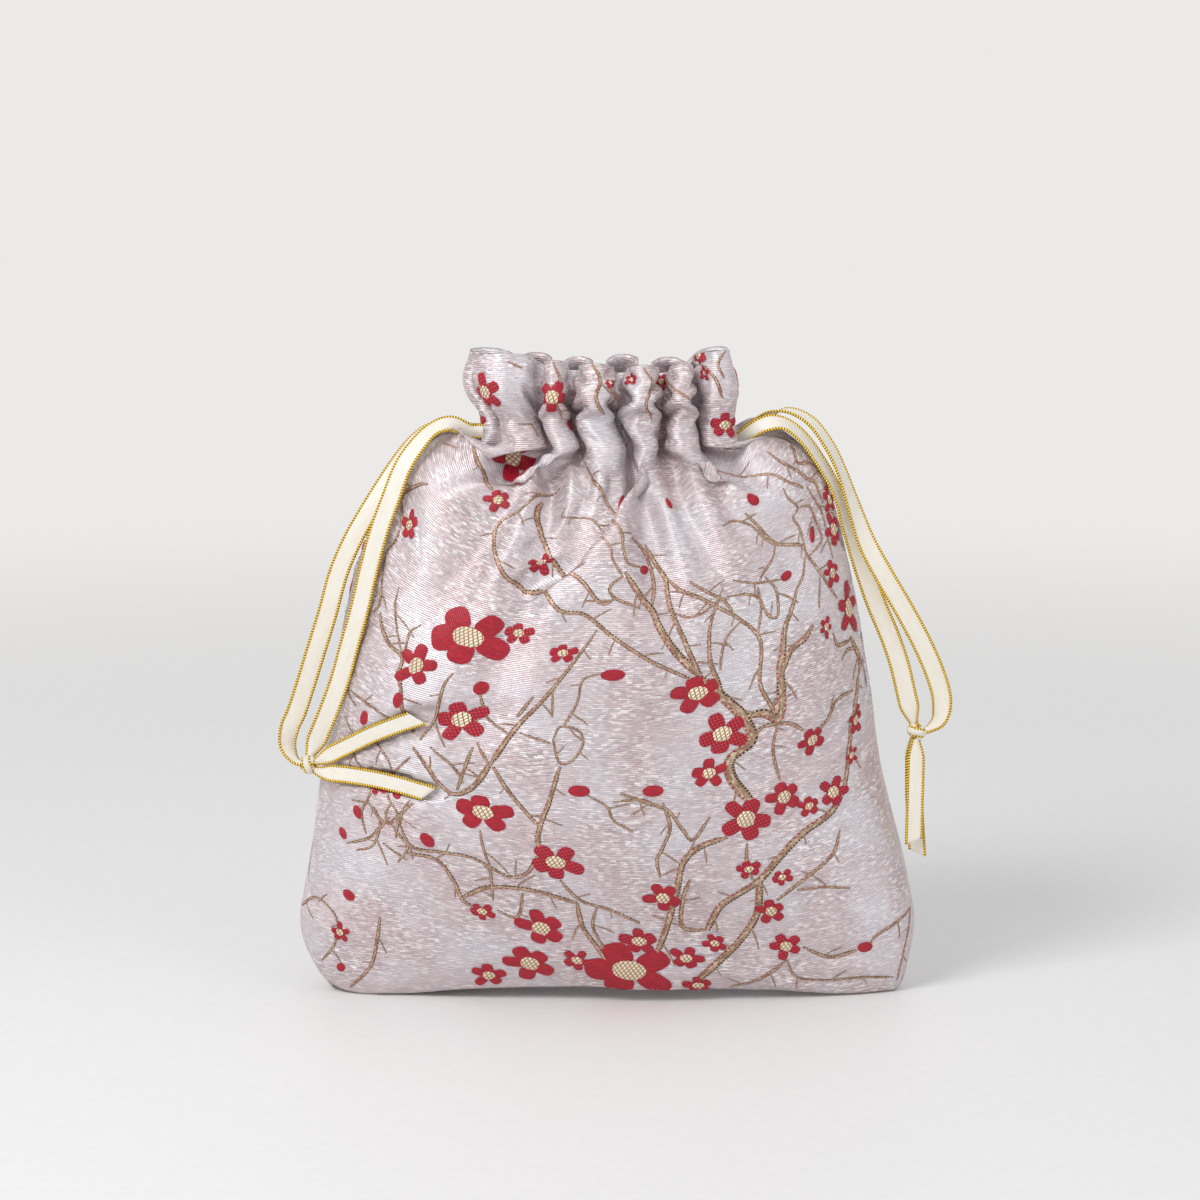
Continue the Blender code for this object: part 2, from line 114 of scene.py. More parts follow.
def exit_stops(side, height, face):
    """The short turn from the casing out through the slit in the side seam."""
    climb = UPPER_SEAM - 3.2 - height
    return [
        (side * (NECK_HALF_WIDTH - 0.1), face * 1.8, height, side * 0.75, face * 0.65, 0.0),
        (side * (NECK_HALF_WIDTH + 1.6), face * 0.85, height + 0.15 * climb, side * 0.15, face * 1.0, 0.0),
        (side * (NECK_HALF_WIDTH + 4.4), face * 1.3, height + 0.7 * climb, 0.0, face * 1.0, 0.1),
    ]

# %% Stops of the left ribbon, from its exit to its knot, and of its tails
LEFT_FRONT = [
    (-47.0, -3.4, 177.2, -0.1, -0.8, 0.6),
    (-52.5, -5.4, 175.6, -0.3, -0.6, 0.8),
    (-57.0, -7.0, 171.2, -0.4, -0.8, 0.6),
    (-61.5, -8.8, 164.6, -0.4, -0.9, 0.3),
    (-65.5, -10.1, 154.3, -0.3, -0.9, 0.1),
    (-68.8, -10.7, 145.2, -0.3, -0.9, 0.0),
    (-72.0, -11.0, 133.5, -0.3, -1.0, 0.0),
    (-75.0, -11.2, 121.0, -0.3, -1.0, 0.0),
    (-78.2, -11.0, 110.0, -0.2, -1.0, 0.0),
    (-81.0, -10.6, 100.0, -0.1, -1.0, 0.0),
    (-84.6, -10.2, 90.2, 0.0, -1.0, 0.0),
    (-87.6, -9.6, 83.0, 0.1, -1.0, 0.0),
    (-89.9, -9.0, 77.4, 0.1, -1.0, 0.0),
    (-90.9, -8.6, 74.6, 0.1, -1.0, 0.0),
]
LEFT_BACK = [
    (-47.0, 3.2, 176.8, -0.1, 0.7, 0.7),
    (-52.8, 3.0, 176.2, -0.3, 0.0, 1.0),
    (-58.4, 1.0, 172.0, -0.6, -0.4, 0.7),
    (-64.2, -3.1, 163.6, -0.5, -0.8, 0.3),
    (-70.9, -6.6, 152.8, -0.4, -0.9, 0.1),
    (-76.8, -6.7, 142.5, -0.3, -0.9, 0.0),
    (-81.4, -6.2, 132.0, -0.2, -1.0, 0.0),
    (-84.9, -6.0, 119.7, -0.1, -1.0, 0.0),
    (-88.3, -6.0, 108.9, 0.0, -1.0, 0.0),
    (-92.0, -6.0, 97.2, 0.1, -1.0, 0.0),
    (-94.8, -6.0, 88.9, 0.1, -1.0, 0.0),
    (-96.8, -6.4, 84.4, 0.3, -1.0, 0.1),
    (-97.6, -6.8, 79.0, 0.6, -0.8, 0.5),
    (-95.4, -7.6, 75.0, 0.3, -0.5, 0.9),
    (-92.7, -8.0, 73.6, 0.2, -0.4, 0.9),
]
LEFT_KNOT = (-91.2, -8.2, 72.9)
LEFT_TAILS = [
    [
        (-90.1, -9.0, 73.4, -0.3, -1.0, 0.2),
        (-87.6, -10.0, 74.8, -0.4, -0.9, 0.1),
        (-80.2, -13.0, 79.0, -0.5, -0.9, 0.0),
        (-71.4, -17.4, 84.0, -0.5, -0.9, 0.0),
        (-62.4, -21.4, 88.2, -0.4, -0.9, 0.0),
        (-55.2, -24.2, 91.0, -0.4, -0.9, 0.0),
    ],
    [
        (-90.3, -9.0, 71.9, -0.3, -1.0, 0.3),
        (-87.6, -10.2, 71.1, -0.4, -0.9, 0.3),
        (-79.6, -13.8, 71.0, -0.5, -0.8, 0.2),
        (-71.0, -18.0, 70.6, -0.4, -0.9, 0.1),
        (-63.0, -21.8, 69.6, -0.4, -0.9, 0.1),
        (-55.4, -24.8, 68.0, -0.3, -0.9, 0.1),
    ],
]

# %% Stops of the right ribbon, from its exit to its knot, and of its tails
RIGHT_FRONT = [
    (47.0, -3.4, 176.8, 0.1, -0.8, 0.6),
    (53.0, -2.6, 177.2, 0.3, -0.5, 0.8),
    (59.0, -1.4, 173.0, 0.6, -0.5, 0.6),
    (65.2, -1.2, 164.6, 0.8, -0.5, 0.3),
    (70.3, -1.6, 155.2, 0.8, -0.5, 0.2),
    (73.9, -2.0, 144.8, 0.6, -0.8, 0.1),
    (77.9, -2.0, 133.4, 0.3, -1.0, 0.0),
    (82.1, -1.8, 121.8, 0.1, -1.0, 0.0),
    (86.4, -1.4, 111.7, 0.0, -1.0, 0.0),
    (89.6, -1.0, 102.5, 0.0, -1.0, 0.0),
    (91.8, -0.8, 93.5, -0.1, -1.0, 0.0),
    (93.6, -0.6, 86.4, -0.1, -1.0, 0.0),
    (94.4, -0.4, 83.8, -0.1, -1.0, 0.0),
]
RIGHT_BACK = [
    (47.2, 4.0, 177.6, 0.1, 0.6, 0.8),
    (54.2, 3.8, 180.4, 0.3, -0.1, 1.0),
    (61.6, 2.6, 177.4, 0.6, -0.4, 0.7),
    (67.3, 1.2, 170.2, 0.8, -0.5, 0.3),
    (71.4, -0.2, 161.8, 0.8, -0.5, 0.1),
    (75.0, -2.4, 151.5, 0.7, -0.7, 0.1),
    (79.0, -4.2, 140.6, 0.4, -0.9, 0.0),
    (84.4, -4.6, 130.6, 0.2, -1.0, 0.0),
    (90.8, -4.2, 119.7, 0.1, -1.0, 0.0),
    (96.3, -3.4, 109.4, 0.0, -1.0, 0.0),
    (100.3, -2.6, 100.3, 0.0, -1.0, 0.0),
    (102.6, -1.8, 92.3, -0.2, -1.0, 0.0),
    (102.0, -1.2, 86.0, -0.5, -0.7, 0.4),
    (98.6, -0.6, 83.0, -0.2, -0.5, 0.9),
    (96.6, -0.4, 82.4, 0.0, -0.5, 0.9),
]
RIGHT_KNOT = (95.0, -0.4, 81.8)
RIGHT_TAILS = [
    [
        (95.2, -1.2, 80.2, 0.0, -1.0, 0.0),
        (95.0, -1.8, 77.6, 0.0, -1.0, 0.0),
        (94.9, -2.4, 70.0, 0.0, -1.0, 0.0),
        (94.7, -3.0, 60.0, 0.0, -1.0, 0.0),
        (94.5, -3.6, 46.8, 0.0, -1.0, 0.0),
    ],
    [
        (94.6, 0.8, 80.2, 0.0, -1.0, 0.0),
        (94.6, 1.0, 77.6, 0.0, -1.0, 0.0),
        (94.6, 1.0, 70.0, 0.0, -1.0, 0.0),
        (94.8, 0.4, 60.0, 0.0, -1.0, 0.0),
        (95.8, -0.4, 44.7, 0.0, -1.0, 0.0),
    ],
]

# %% The four strands as smooth routes
def smooth_route(stops, spacing):
    """A Catmull-Rom curve through the stops, sampled at an even spacing."""
    table = np.array(stops, float)
    padded = np.vstack([2 * table[0] - table[1], table, 2 * table[-1] - table[-2]])
    share = np.linspace(0.0, 1.0, 16, endpoint=False)[:, None]
    spans = []
    for before, start, end, after in zip(padded[:-3], padded[1:-2], padded[2:-1], padded[3:]):
        spans.append(
            0.5
            * (
                2.0 * start
                + (end - before) * share
                + (2.0 * before - 5.0 * start + 4.0 * end - after) * share**2
                + (3.0 * start - before - 3.0 * end + after) * share**3
            )
        )
    fine = np.vstack(spans + [table[-1:]])
    walked = np.concatenate([[0.0], np.cumsum(np.linalg.norm(np.diff(fine[:, :3], axis=0), axis=1))])
    at = np.linspace(0.0, walked[-1], max(3, int(walked[-1] / spacing) + 1))
    return np.stack([np.interp(at, walked, column) for column in fine.T], axis=1)


def strand_stops(side, height, face, stops, knot, tail):
    """One strand's whole way: out of the slit, down to its knot, through it and on to the tail's end."""
    facing = np.mean([stops[-1][3:], tail[0][3:]], axis=0)
    return exit_stops(side, height, face) + stops + [(*knot, *facing)] + tail[1:]


RIBBON_SIDES = {
    "left": (LEFT, LEFT_HEIGHT, LEFT_KNOT, LEFT_TAILS, (LEFT_FRONT, LEFT_BACK)),
    "right": (RIGHT, RIGHT_HEIGHT, RIGHT_KNOT, RIGHT_TAILS, (RIGHT_FRONT, RIGHT_BACK)),
}
STRANDS = {}
for word, (side, height, knot, tails, ways) in RIBBON_SIDES.items():
    for strand, face, stops, tail in zip(("front", "back"), (-1, 1), ways, tails):
        STRANDS[f"{word}_ribbon_{strand}"] = (side, strand_stops(side, height, face, stops, knot, tail))
print("millimetres of ribbon", {name: len(smooth_route(stops, 1.0)) for name, (_, stops) in STRANDS.items()})

# %% [markdown]
# ## The cloth, flat and gathered
#
# Laid flat, each face of the bag is a rectangle with rounded lower corners. The neck is gathered into
# twelve pleats, six on each face. Cloth can't stretch, so a pleat that is narrow across has to be deep:
# the depth of each one is found from the length of cloth that it holds.

# %% Sizes of the flat cloth, in millimetres
PANEL = 198.0
LOWER_STITCHES = 199.0
UPPER_STITCHES = 209.0
TOP_EDGE = 231.0
LOW_Z, UP_Z = 168.5, UPPER_SEAM
CORNER = {LEFT: (15.0, 22.0), RIGHT: (8.5, 12.0)}

# Pleat edges along the front, then the back, at both rows of stitches and along the frill
FRONT_LOW = (-35.5, -16.5, -7.0, 8.0, 16.5, 30.0)
FRONT_UP = (-34.5, -21.0, -11.0, 3.2, 17.5, 28.2)
FRONT_TOP = (-43.2, -20.5, -11.0, 4.0, 17.8, 27.5)
BACK_LOW = (24.0, 11.0, -3.0, -15.0, -27.0)
BACK_UP = (25.0, 12.0, -1.0, -14.0, -26.0)
BACK_TOP = (26.0, 12.0, -2.0, -15.0, -28.0)
PLEAT_TOPS = np.array([200.0, 195.5, 194.5, 193.8, 194.0, 199.5, 199.0, 194.0, 195.0, 194.0, 196.0, 199.5])
PLEAT_STANDS = np.array([1.0, 0.92, 1.04, 0.96, 1.08, 0.9, 1.05, 0.95, 1.0, 0.9, 1.1, 1.0])
PLEAT_DEPTH = 9.0
TOP_ARCH = 4.5

# %% Loops round the bag, and pleats along them
class Ring:
    """A closed loop like an ellipse, measured along itself from its left tip, front first."""

    def __init__(self, middle, half_width, half_depth, point):
        turn = np.linspace(0, 2 * np.pi, 2881)
        self.x = middle - half_width * np.cos(turn)
        self.y = -half_depth * np.sign(np.sin(turn)) * np.abs(np.sin(turn)) ** point
        self.walked = np.concatenate([[0], np.cumsum(np.hypot(np.diff(self.x), np.diff(self.y)))])
        self.length = self.walked[-1]
        self.half = self.walked[1440]

    def at(self, walked):
        walked = np.mod(walked, self.length)
        return np.stack([np.interp(walked, self.walked, self.x), np.interp(walked, self.walked, self.y)], -1)

    def outward(self, walked):
        ahead = self.at(walked + 0.8) - self.at(walked - 0.8)
        out = np.stack([ahead[..., 1], -ahead[..., 0]], -1)
        return out / np.linalg.norm(out, axis=-1, keepdims=True)

    def edges(self, front, back):
        """Where the pleats' edges lie along the loop, from their places across the front and the back."""
        near, far = self.x[:1441], self.x[1440:]
        on_front = [np.interp(x, near, self.walked[:1441]) for x in front]
        on_back = [np.interp(-x, -far, self.walked[1440:]) for x in back]
        return np.array(on_front + [self.half] + on_back + [self.length + on_front[0]])


def half_width(rise, side):
    """Half the flat face's width at a height, where its lower corners are rounded."""
    inset, height = CORNER[side]
    share = np.clip((height - rise) / height, 0, 1)
    return PANEL / 2 - inset * (1 - np.sqrt(1 - share * share))


def pleat_arch(width, depth, stand, roundness, gap=0.5):
    """The section of one pleat, from one valley over its ridge to the next."""
    turn = np.linspace(0, np.pi, 200)
    wave = np.cos(turn)
    across = gap + (width - 2 * gap) * 0.5 * (1 - np.sign(wave) * np.abs(wave) ** (2 / roundness))
    out = (depth + stand) * np.abs(np.sin(turn)) ** (2 / roundness) - depth
    return across, out


def pleated_row(ring, edges, lengths, stand, roundness, counts):
    """Places of the cloth's columns round a row of pleats, each as deep as its own cloth makes it."""
    places = []
    for cell, length in enumerate(lengths):
        width = edges[cell + 1] - edges[cell]
        shallow, deep = 0.0, 30.0
        for _ in range(24):
            depth = 0.5 * (shallow + deep)
            across, out = pleat_arch(width, depth, stand * PLEAT_STANDS[cell], roundness)
            walked = np.concatenate([[0], np.cumsum(np.hypot(np.diff(across), np.diff(out)))])
            shallow, deep = (depth, deep) if walked[-1] + 1.0 < length else (shallow, depth)
        at = (np.arange(counts[cell]) + 0.5) / counts[cell] * walked[-1]
        along = edges[cell] + np.interp(at, walked, across)
        places.append(ring.at(along) + ring.outward(along) * np.interp(at, walked, out)[:, None])
    return np.concatenate(places)


def cloth_in_pleats():
    """How much of the flat girth each pleat takes up."""
    ring = Ring(1.0, 40.0, 12.5, 0.8)
    lengths = np.diff(ring.edges(FRONT_UP, BACK_UP)) + 2 * PLEAT_DEPTH
    lengths[:6] *= PANEL / lengths[:6].sum()
    lengths[6:] *= PANEL / lengths[6:].sum()
    return lengths


# %% [markdown]
# ## The starting shape
#
# The simulation starts near the end shape: plain loops from the base up to the shoulders, then the
# pleated rows of the casing and the frill. The columns at the sides go over the shoulders first.

# %% Starting shape of the gathered cloth
BODY_LOOPS = [  # height, half width, half depth, point, middle, how much higher the two ends ride
    (0.3, 84.0, 9.0, 0.85, 1.5, 0.0),
    (8.0, 93.0, 16.0, 0.95, 1.2, 0.0),
    (22.0, 96.8, 20.0, 1.1, 0.2, 0.0),
    (42.0, 92.2, 26.5, 1.2, 0.5, 0.0),
    (82.0, 84.2, 33.0, 1.25, -1.3, 0.0),
    (115.0, 79.0, 32.0, 1.2, -1.0, 0.0),
    (140.0, 73.0, 27.0, 1.1, -0.5, 0.0),
    (153.0, 67.5, 23.0, 1.0, 0.5, 0.0),
    (160.0, 61.5, 19.5, 0.95, 1.0, 4.0),
    (163.5, 56.0, 17.5, 0.9, 1.0, 9.0),
    (165.5, 50.0, 16.0, 0.85, 1.0, 10.5),
    (167.5, 45.0, 15.0, 0.8, 1.0, 5.0),
]
NECK_LOOPS = {  # middle, half width, half depth, how far the pleats stand out, roundness
    "low": (1.0, 39.0, 12.5, 3.2, 2.7),
    "middle": (1.2, 38.8, 12.6, 2.8, 2.7),
    "up": (1.2, 38.0, 12.2, 1.8, 2.7),
    "frill": (-2.2, 42.0, 13.5, 3.8, 2.0),
    "top": (-2.4, 39.6, 11.0, 2.4, 1.9),
}


def smoothstep(start, end, value):
    share = np.clip((value - start) / (end - start), 0, 1)
    return share * share * (3 - 2 * share)

# %% Points of the starting shape
def starting_shape(columns, rows):
    """The cloth's points row by row, which of them are sewn down, and each row's height up the flat cloth."""
    lengths = cloth_in_pleats()
    column_edges = np.round(np.concatenate([[0], np.cumsum(lengths)]) / (2 * PANEL) * columns).astype(int)
    counts = np.diff(column_edges)
    middle_front = [0.5 * (low + up) for low, up in zip(FRONT_LOW, FRONT_UP)]
    middle_back = [0.5 * (low + up) for low, up in zip(BACK_LOW, BACK_UP)]
    pleat_places = {
        "low": (FRONT_LOW, BACK_LOW),
        "middle": (middle_front, middle_back),
        "up": (FRONT_UP, BACK_UP),
        "frill": (FRONT_TOP, BACK_TOP),
        "top": (FRONT_TOP, BACK_TOP),
    }
    neck = {}
    for name, (middle, wide, deep, stand, roundness) in NECK_LOOPS.items():
        ring = Ring(middle, wide, deep, 0.8)
        neck[name] = pleated_row(ring, ring.edges(*pleat_places[name]), lengths, stand, roundness, counts)
    across_pleat = np.concatenate([(np.arange(count) + 0.5) / count for count in counts])
    tops = np.repeat(PLEAT_TOPS, counts) - TOP_ARCH * np.abs(2 * across_pleat - 1) ** 3
    reach = max(1, columns // 120)
    tops = np.convolve(np.concatenate([tops[-reach:], tops, tops[:reach]]), np.ones(2 * reach + 1), "valid")
    tops = tops / (2 * reach + 1)

    girth = (np.arange(columns) + 0.5) / columns
    loops = []
    for height, wide, deep, point, middle, lift in BODY_LOOPS:
        ring = Ring(middle, wide, deep, point)
        back_length = ring.length - ring.half
        walked = np.where(girth < 0.5, 2 * girth * ring.half, ring.half + (2 * girth - 1) * back_length)
        place = ring.at(walked)
        rise = height + lift * np.clip(np.abs(place[:, 0] - middle) / wide, 0, 1) ** 5
        loops.append(np.column_stack([place, rise]))
    bottom = loops[0] * (1.0, 0.0, 1.0)
    stack = np.stack([bottom] + loops + [np.column_stack([neck["low"], np.full(columns, LOW_Z)])])
    walked = np.linalg.norm(np.diff(stack, axis=0), axis=2)
    walked = np.concatenate([np.zeros((1, columns)), np.cumsum(walked, 0)])

    rise = np.linspace(0, TOP_EDGE, rows)
    points = np.zeros((rows, columns, 3))
    for row, height in enumerate(rise):
        if height <= LOWER_STITCHES:
            wanted = height / LOWER_STITCHES * walked[-1]
            for column in range(columns):
                for axis in range(3):
                    along = stack[:, column, axis]
                    points[row, column, axis] = np.interp(wanted[column], walked[:, column], along)
        elif height <= UPPER_STITCHES:
            share = (height - LOWER_STITCHES) / (UPPER_STITCHES - LOWER_STITCHES)
            places = neck["low"] * max(0, 1 - 2 * share) + neck["up"] * max(0, 2 * share - 1)
            points[row, :, :2] = places + neck["middle"] * (1 - abs(2 * share - 1))
            points[row, :, 2] = LOW_Z + (UP_Z - LOW_Z) * share
        else:
            share = (height - UPPER_STITCHES) / (TOP_EDGE - UPPER_STITCHES)
            opened, edge = smoothstep(0, 0.45, share), smoothstep(0.6, 1.0, share)
            frill = neck["frill"] * (1 - edge) + neck["top"] * edge
            points[row, :, :2] = neck["up"] * (1 - opened) + frill * opened
            points[row, :, 2] = UP_Z + (tops - UP_Z) * share
    sewn = np.zeros((rows, columns), bool)
    for height in (LOWER_STITCHES, UPPER_STITCHES):
        sewn[np.argmin(np.abs(rise - height))] = True
    return points, sewn, rise


# %% [markdown]
# ## The cloth simulation
#
# Each point moves a little under air pressure and its own weight, and then the threads between
# neighbouring points are pulled back to their real lengths. Longer threads, which only push, give the
# brocade its stiffness. The gift inside holds the cloth up, and an outline keeps the cloth from
# swelling past the shape that the filled bag has. Where ribbons lie on the front, the cloth stays just
# behind them.

# %% Cloth simulation
OUTLINE = np.array(
    [  # height, left and right half width, half depth
        (0, 84, 90, 14), (8, 92.5, 95, 17), (22, 97, 97.3, 21), (42, 92.3, 93, 28), (62, 89, 87.3, 32.5),
        (82, 86, 83.4, 35), (100, 83.5, 80, 35.5), (118, 80, 77, 34), (132, 76.6, 74.2, 31.5),
        (145, 72, 71.2, 28.5), (155, 67, 68.2, 25.5), (165, 60.8, 64, 22), (172, 53, 57, 19),
        (176.5, 47, 51, 17), (181, 44, 46, 16.5),
    ],
    float,
)
SHOULDERS = [(-50.0, 162.5, 12.5), (52.5, 162.5, 13.0)]
PRESSURE, WEIGHT, DAMPING = 0.006, 0.003, 0.9
FILLING = 0.95
TAKEN_UP = 0.035
MOST_PUSH, MOST_STEP = 0.5, 1.2
GIFT_TOP = 162.0
SHOULDERS_FROM = 41.0
RIBBON_REACH = (3.6, 3.0)
BEHIND_RIBBON = 0.7


def surface_normals(points):
    around = np.roll(points, -1, 1) - np.roll(points, 1, 1)
    upward = np.gradient(points, axis=0)
    return np.cross(around, upward)

# %% Lengths of the threads, from the flat cloth
def thread_lengths(columns, rows):
    """The flat distance from each point to one that lies some columns and rows further on."""
    rise = np.linspace(0, TOP_EDGE, rows)
    left, right = half_width(rise, LEFT)[:, None], half_width(rise, RIGHT)[:, None]
    share = (np.arange(columns) + 0.5) / columns
    front = share < 0.5
    across = np.where(front, 2 * share, 2 - 2 * share)
    flat_x = -left + (left + right) * across
    face = np.where(front, 1, -1)
    row_height = TOP_EDGE / (rows - 1)
    # Small creases, too fine for this mesh, take up a little of the cloth's height where it is fullest
    fullest = np.clip(1 - (flat_x / 80.0) ** 2, 0, 1) * (rise[:, None] < LOWER_STITCHES)
    upward = row_height * (1 - TAKEN_UP * fullest)

    def length(right_by, up_by):
        last = rows - up_by
        wide = (left + right) * 2 / columns
        sideways = right_by * 0.5 * (wide[:last] + wide[up_by:]) + (flat_x[up_by:] - flat_x[:last]) * face
        return np.hypot(sideways, up_by * upward[:last]).astype(np.float32)

    return length

# %% One run of the simulation
def gathered_cloth(points, sewn, rise, steps, frill_shape, frill_pull):
    """Runs the simulation from the given points and returns the cloth at rest."""
    rows, columns, _ = points.shape
    points = points.astype(np.float32)
    length = thread_lengths(columns, rows)
    free = np.where(sewn, 0.0, 1.0).astype(np.float32)[..., None]
    column = np.arange(columns)
    half = columns // 2
    beside = np.mod(column + 1, columns)
    cell_area = 4 * (2 * PANEL / columns) * TOP_EDGE / (rows - 1)
    body = (rise < LOWER_STITCHES)[:, None] & ~sewn
    low_body = body & (rise < LOWER_STITCHES - 18)[:, None]
    frill = rise > UPPER_STITCHES + 0.5
    front = column < half
    before = points.copy()

    def pull(first, second, rest, strength, push_only=False):
        """Moves two sets of points so that the threads between them are as long as they are flat."""
        start, end = points[first], points[second]
        apart = end - start
        distance = np.sqrt((apart * apart).sum(-1, keepdims=True)) + 1e-9
        stretch = distance - rest[..., None]
        if push_only:
            stretch = np.minimum(stretch, 0)
        share = free[first] + free[second]
        move = apart / distance * (stretch * strength / np.maximum(share, 1e-9))
        points[first] = start + free[first] * move
        points[second] = end - free[second] * move

    def strips(step):
        """Columns or rows in two lots, so that no point is in a lot twice."""
        across = [column[(column % (2 * step)) < step], column[(column % (2 * step)) >= step]]
        up = [np.array([row for row in range(rows - step) if (row // step) % 2 == lot]) for lot in (0, 1)]
        return across, up

    across_1, up_1 = strips(1)
    everything = slice(None)
    threads = []
    for lot in across_1:
        threads.append(((everything, lot), (everything, beside[lot]), length(1, 0)[:, lot], 1.0, False))
    for lot in up_1:
        threads.append(((lot,), (lot + 1,), length(0, 1)[lot], 1.0, False))
    for lot in up_1:
        here, above = lot[:, None], (lot + 1)[:, None]
        threads.append(((here, column[None]), (above, beside[None]), length(1, 1)[lot], 0.25, False))
        threads.append(((here, beside[None]), (above, column[None]), length(-1, 1)[lot], 0.25, False))
    for step, stiffness in ((2, 0.1), (4, 0.05)):
        across, up = strips(step)
        for lot in across:
            further = np.mod(lot + step, columns)
            rest = length(step, 0)[:, lot]
            threads.append(((everything, lot), (everything, further), rest, stiffness, True))
        for lot in up:
            threads.append(((lot,), (lot + step,), length(0, step)[lot], stiffness, True))

    def keep_in_outline(where):
        """Holds the body inside the outline, with its front in front and its back behind."""
        height = where[..., 2]
        left, right, deep = (np.interp(height, OUTLINE[:, 0], OUTLINE[:, axis]) for axis in (1, 2, 3))
        where[..., 0] = np.where(body, np.clip(where[..., 0], -left, right), where[..., 0])
        wide = np.where(where[..., 0] < 0, left, right)
        profile = deep * np.clip(1 - (where[..., 0] / wide) ** 2, 0, 1) ** 0.6 + 1.0
        within = np.where(front, np.clip(where[..., 1], -profile, 0), np.clip(where[..., 1], 0, profile))
        where[..., 1] = np.where(low_body, within, where[..., 1])
        return wide, deep

    def push_out(wide, deep):
        """The gift inside, as a stack of ellipses, and the cloth's own bulk at the two shoulders."""
        height = points[..., 2]
        reach, depth = 0.985 * wide, FILLING * deep * filling_lumps(points[..., 0], height, front)
        x, y = points[..., 0] / reach, points[..., 1] / depth
        slope_x, slope_y = x / reach, y / depth
        slope = slope_x**2 + slope_y**2 + 1e-9
        amount = 0.5 * np.clip(1 - x * x - y * y, 0, None) / slope
        amount *= np.clip((GIFT_TOP - height) / 8, 0, 1) * np.clip(height / 3, 0, 1) * body
        move = np.stack([amount * slope_x, amount * slope_y, np.zeros_like(amount)], -1)
        size = np.linalg.norm(move, axis=-1, keepdims=True) + 1e-9
        move = move * np.minimum(1.0, MOST_PUSH / size)
        for middle, shoulder_height, radius in SHOULDERS:
            away = points - np.array([middle, 0, shoulder_height], np.float32)
            distance = np.linalg.norm(away, axis=2, keepdims=True) + 1e-6
            outer = body[..., None] & (np.abs(points[..., :1]) > SHOULDERS_FROM)
            move = move + away / distance * np.minimum(np.clip(radius - distance, 0, None), MOST_PUSH) * outer
        return move.astype(np.float32)

    for step in range(steps):
        speed = (points - before) * DAMPING
        before = points.copy()
        points = points + free * speed
        points += free * (surface_normals(points) / cell_area * PRESSURE * body[..., None]).astype(np.float32)
        points[..., 2] -= free[..., 0] * WEIGHT
        points[frill] += frill_pull * (frill_shape[frill] - points[frill])
        for _ in range(2):
            for thread in threads:
                pull(*thread)
            points[0] = 0.5 * (points[0] + points[0][::-1])
            points[..., 2] = np.maximum(points[..., 2], 0.3)
            wide, deep = keep_in_outline(points)
            move = push_out(wide, deep)
            points += move
            before += move
        moved = points - before
        distance = np.linalg.norm(moved, axis=2, keepdims=True) + 1e-9
        points = before + moved * np.minimum(1.0, MOST_STEP / distance)
        keep_in_outline(points)
        keep_in_outline(before)
        behind_ribbons(points, front)
    return points

# %% Swells of the filling, and the cloth behind the ribbons
def filling_lumps(x, height, front):
    """The soft filling isn't even: broad swells and hollows, a little different in front and behind."""
    side = np.where(front, 0.0, 1.7)
    swell = np.sin(0.052 * x + 0.021 * height + 0.6 + side) * np.sin(0.034 * height - 0.017 * x + 1.1 + side)
    return 1.0 + 0.10 * swell + 0.05 * np.sin(0.11 * x - 0.05 * height + side)


RIBBON_POINTS = np.vstack([smooth_route(stops, 2.0)[:, :3] for side, stops in STRANDS.values()])
RIBBON_POINTS = RIBBON_POINTS[(RIBBON_POINTS[:, 1] < -2.0) & (RIBBON_POINTS[:, 2] < 160.0)]


def behind_ribbons(points, front):
    """Presses the front of the bag back to just behind the ribbons that lie on it."""
    for x, y, z in RIBBON_POINTS:
        near = (np.abs(points[..., 0] - x) < RIBBON_REACH[0]) & (np.abs(points[..., 2] - z) < RIBBON_REACH[1])
        furthest = y + BEHIND_RIBBON
        points[..., 1] = np.where(near & front & (points[..., 1] < furthest), furthest, points[..., 1])


# %% [markdown]
# ## A finer and smoother cloth
#
# The simulation runs on a coarse cloth first, which finds its shape quickly, and then on a finer one. It
# leaves small creases beside the low seams and level rolls below the neck, which the real bag doesn't
# have, so the cloth is smoothed there afterwards: each point moves towards its neighbours' middle.

# %% Helpers that make the cloth finer and smoother
def finer(points, rows, columns):
    """The same surface with more points, by a smooth curve along both of its directions."""
    old_rows, old_columns, _ = points.shape

    def blend(before, start, end, after, share):
        return 0.5 * (
            2 * start
            + (end - before) * share
            + (2 * before - 5 * start + 4 * end - after) * share**2
            + (3 * start - before - 3 * end + after) * share**3
        )

    up = np.linspace(0, old_rows - 1, rows)
    row = np.clip(np.floor(up).astype(int), 0, old_rows - 2)
    four = [points[np.clip(row + shift, 0, old_rows - 1)] for shift in (-1, 0, 1, 2)]
    points = blend(*four, (up - row)[:, None, None])
    around = (np.arange(columns) + 0.5) / columns * old_columns - 0.5
    column = np.floor(around).astype(int)
    four = [points[:, np.mod(column + shift, old_columns)] for shift in (-1, 0, 1, 2)]
    return blend(*four, (around - column)[None, :, None])


SEAM_REACH = 9.0
SEAM_PASSES, NECK_PASSES = 30, 44


def neighbours_middle(points, sideways):
    """The middle of each point's neighbours: those beside it by this share, and the rest above and below."""
    beside = 0.5 * (np.roll(points, 1, axis=1) + np.roll(points, -1, axis=1))
    above_below = points.copy()
    above_below[1:-1] = 0.5 * (points[:-2] + points[2:])
    return sideways * beside + (1 - sideways) * above_below


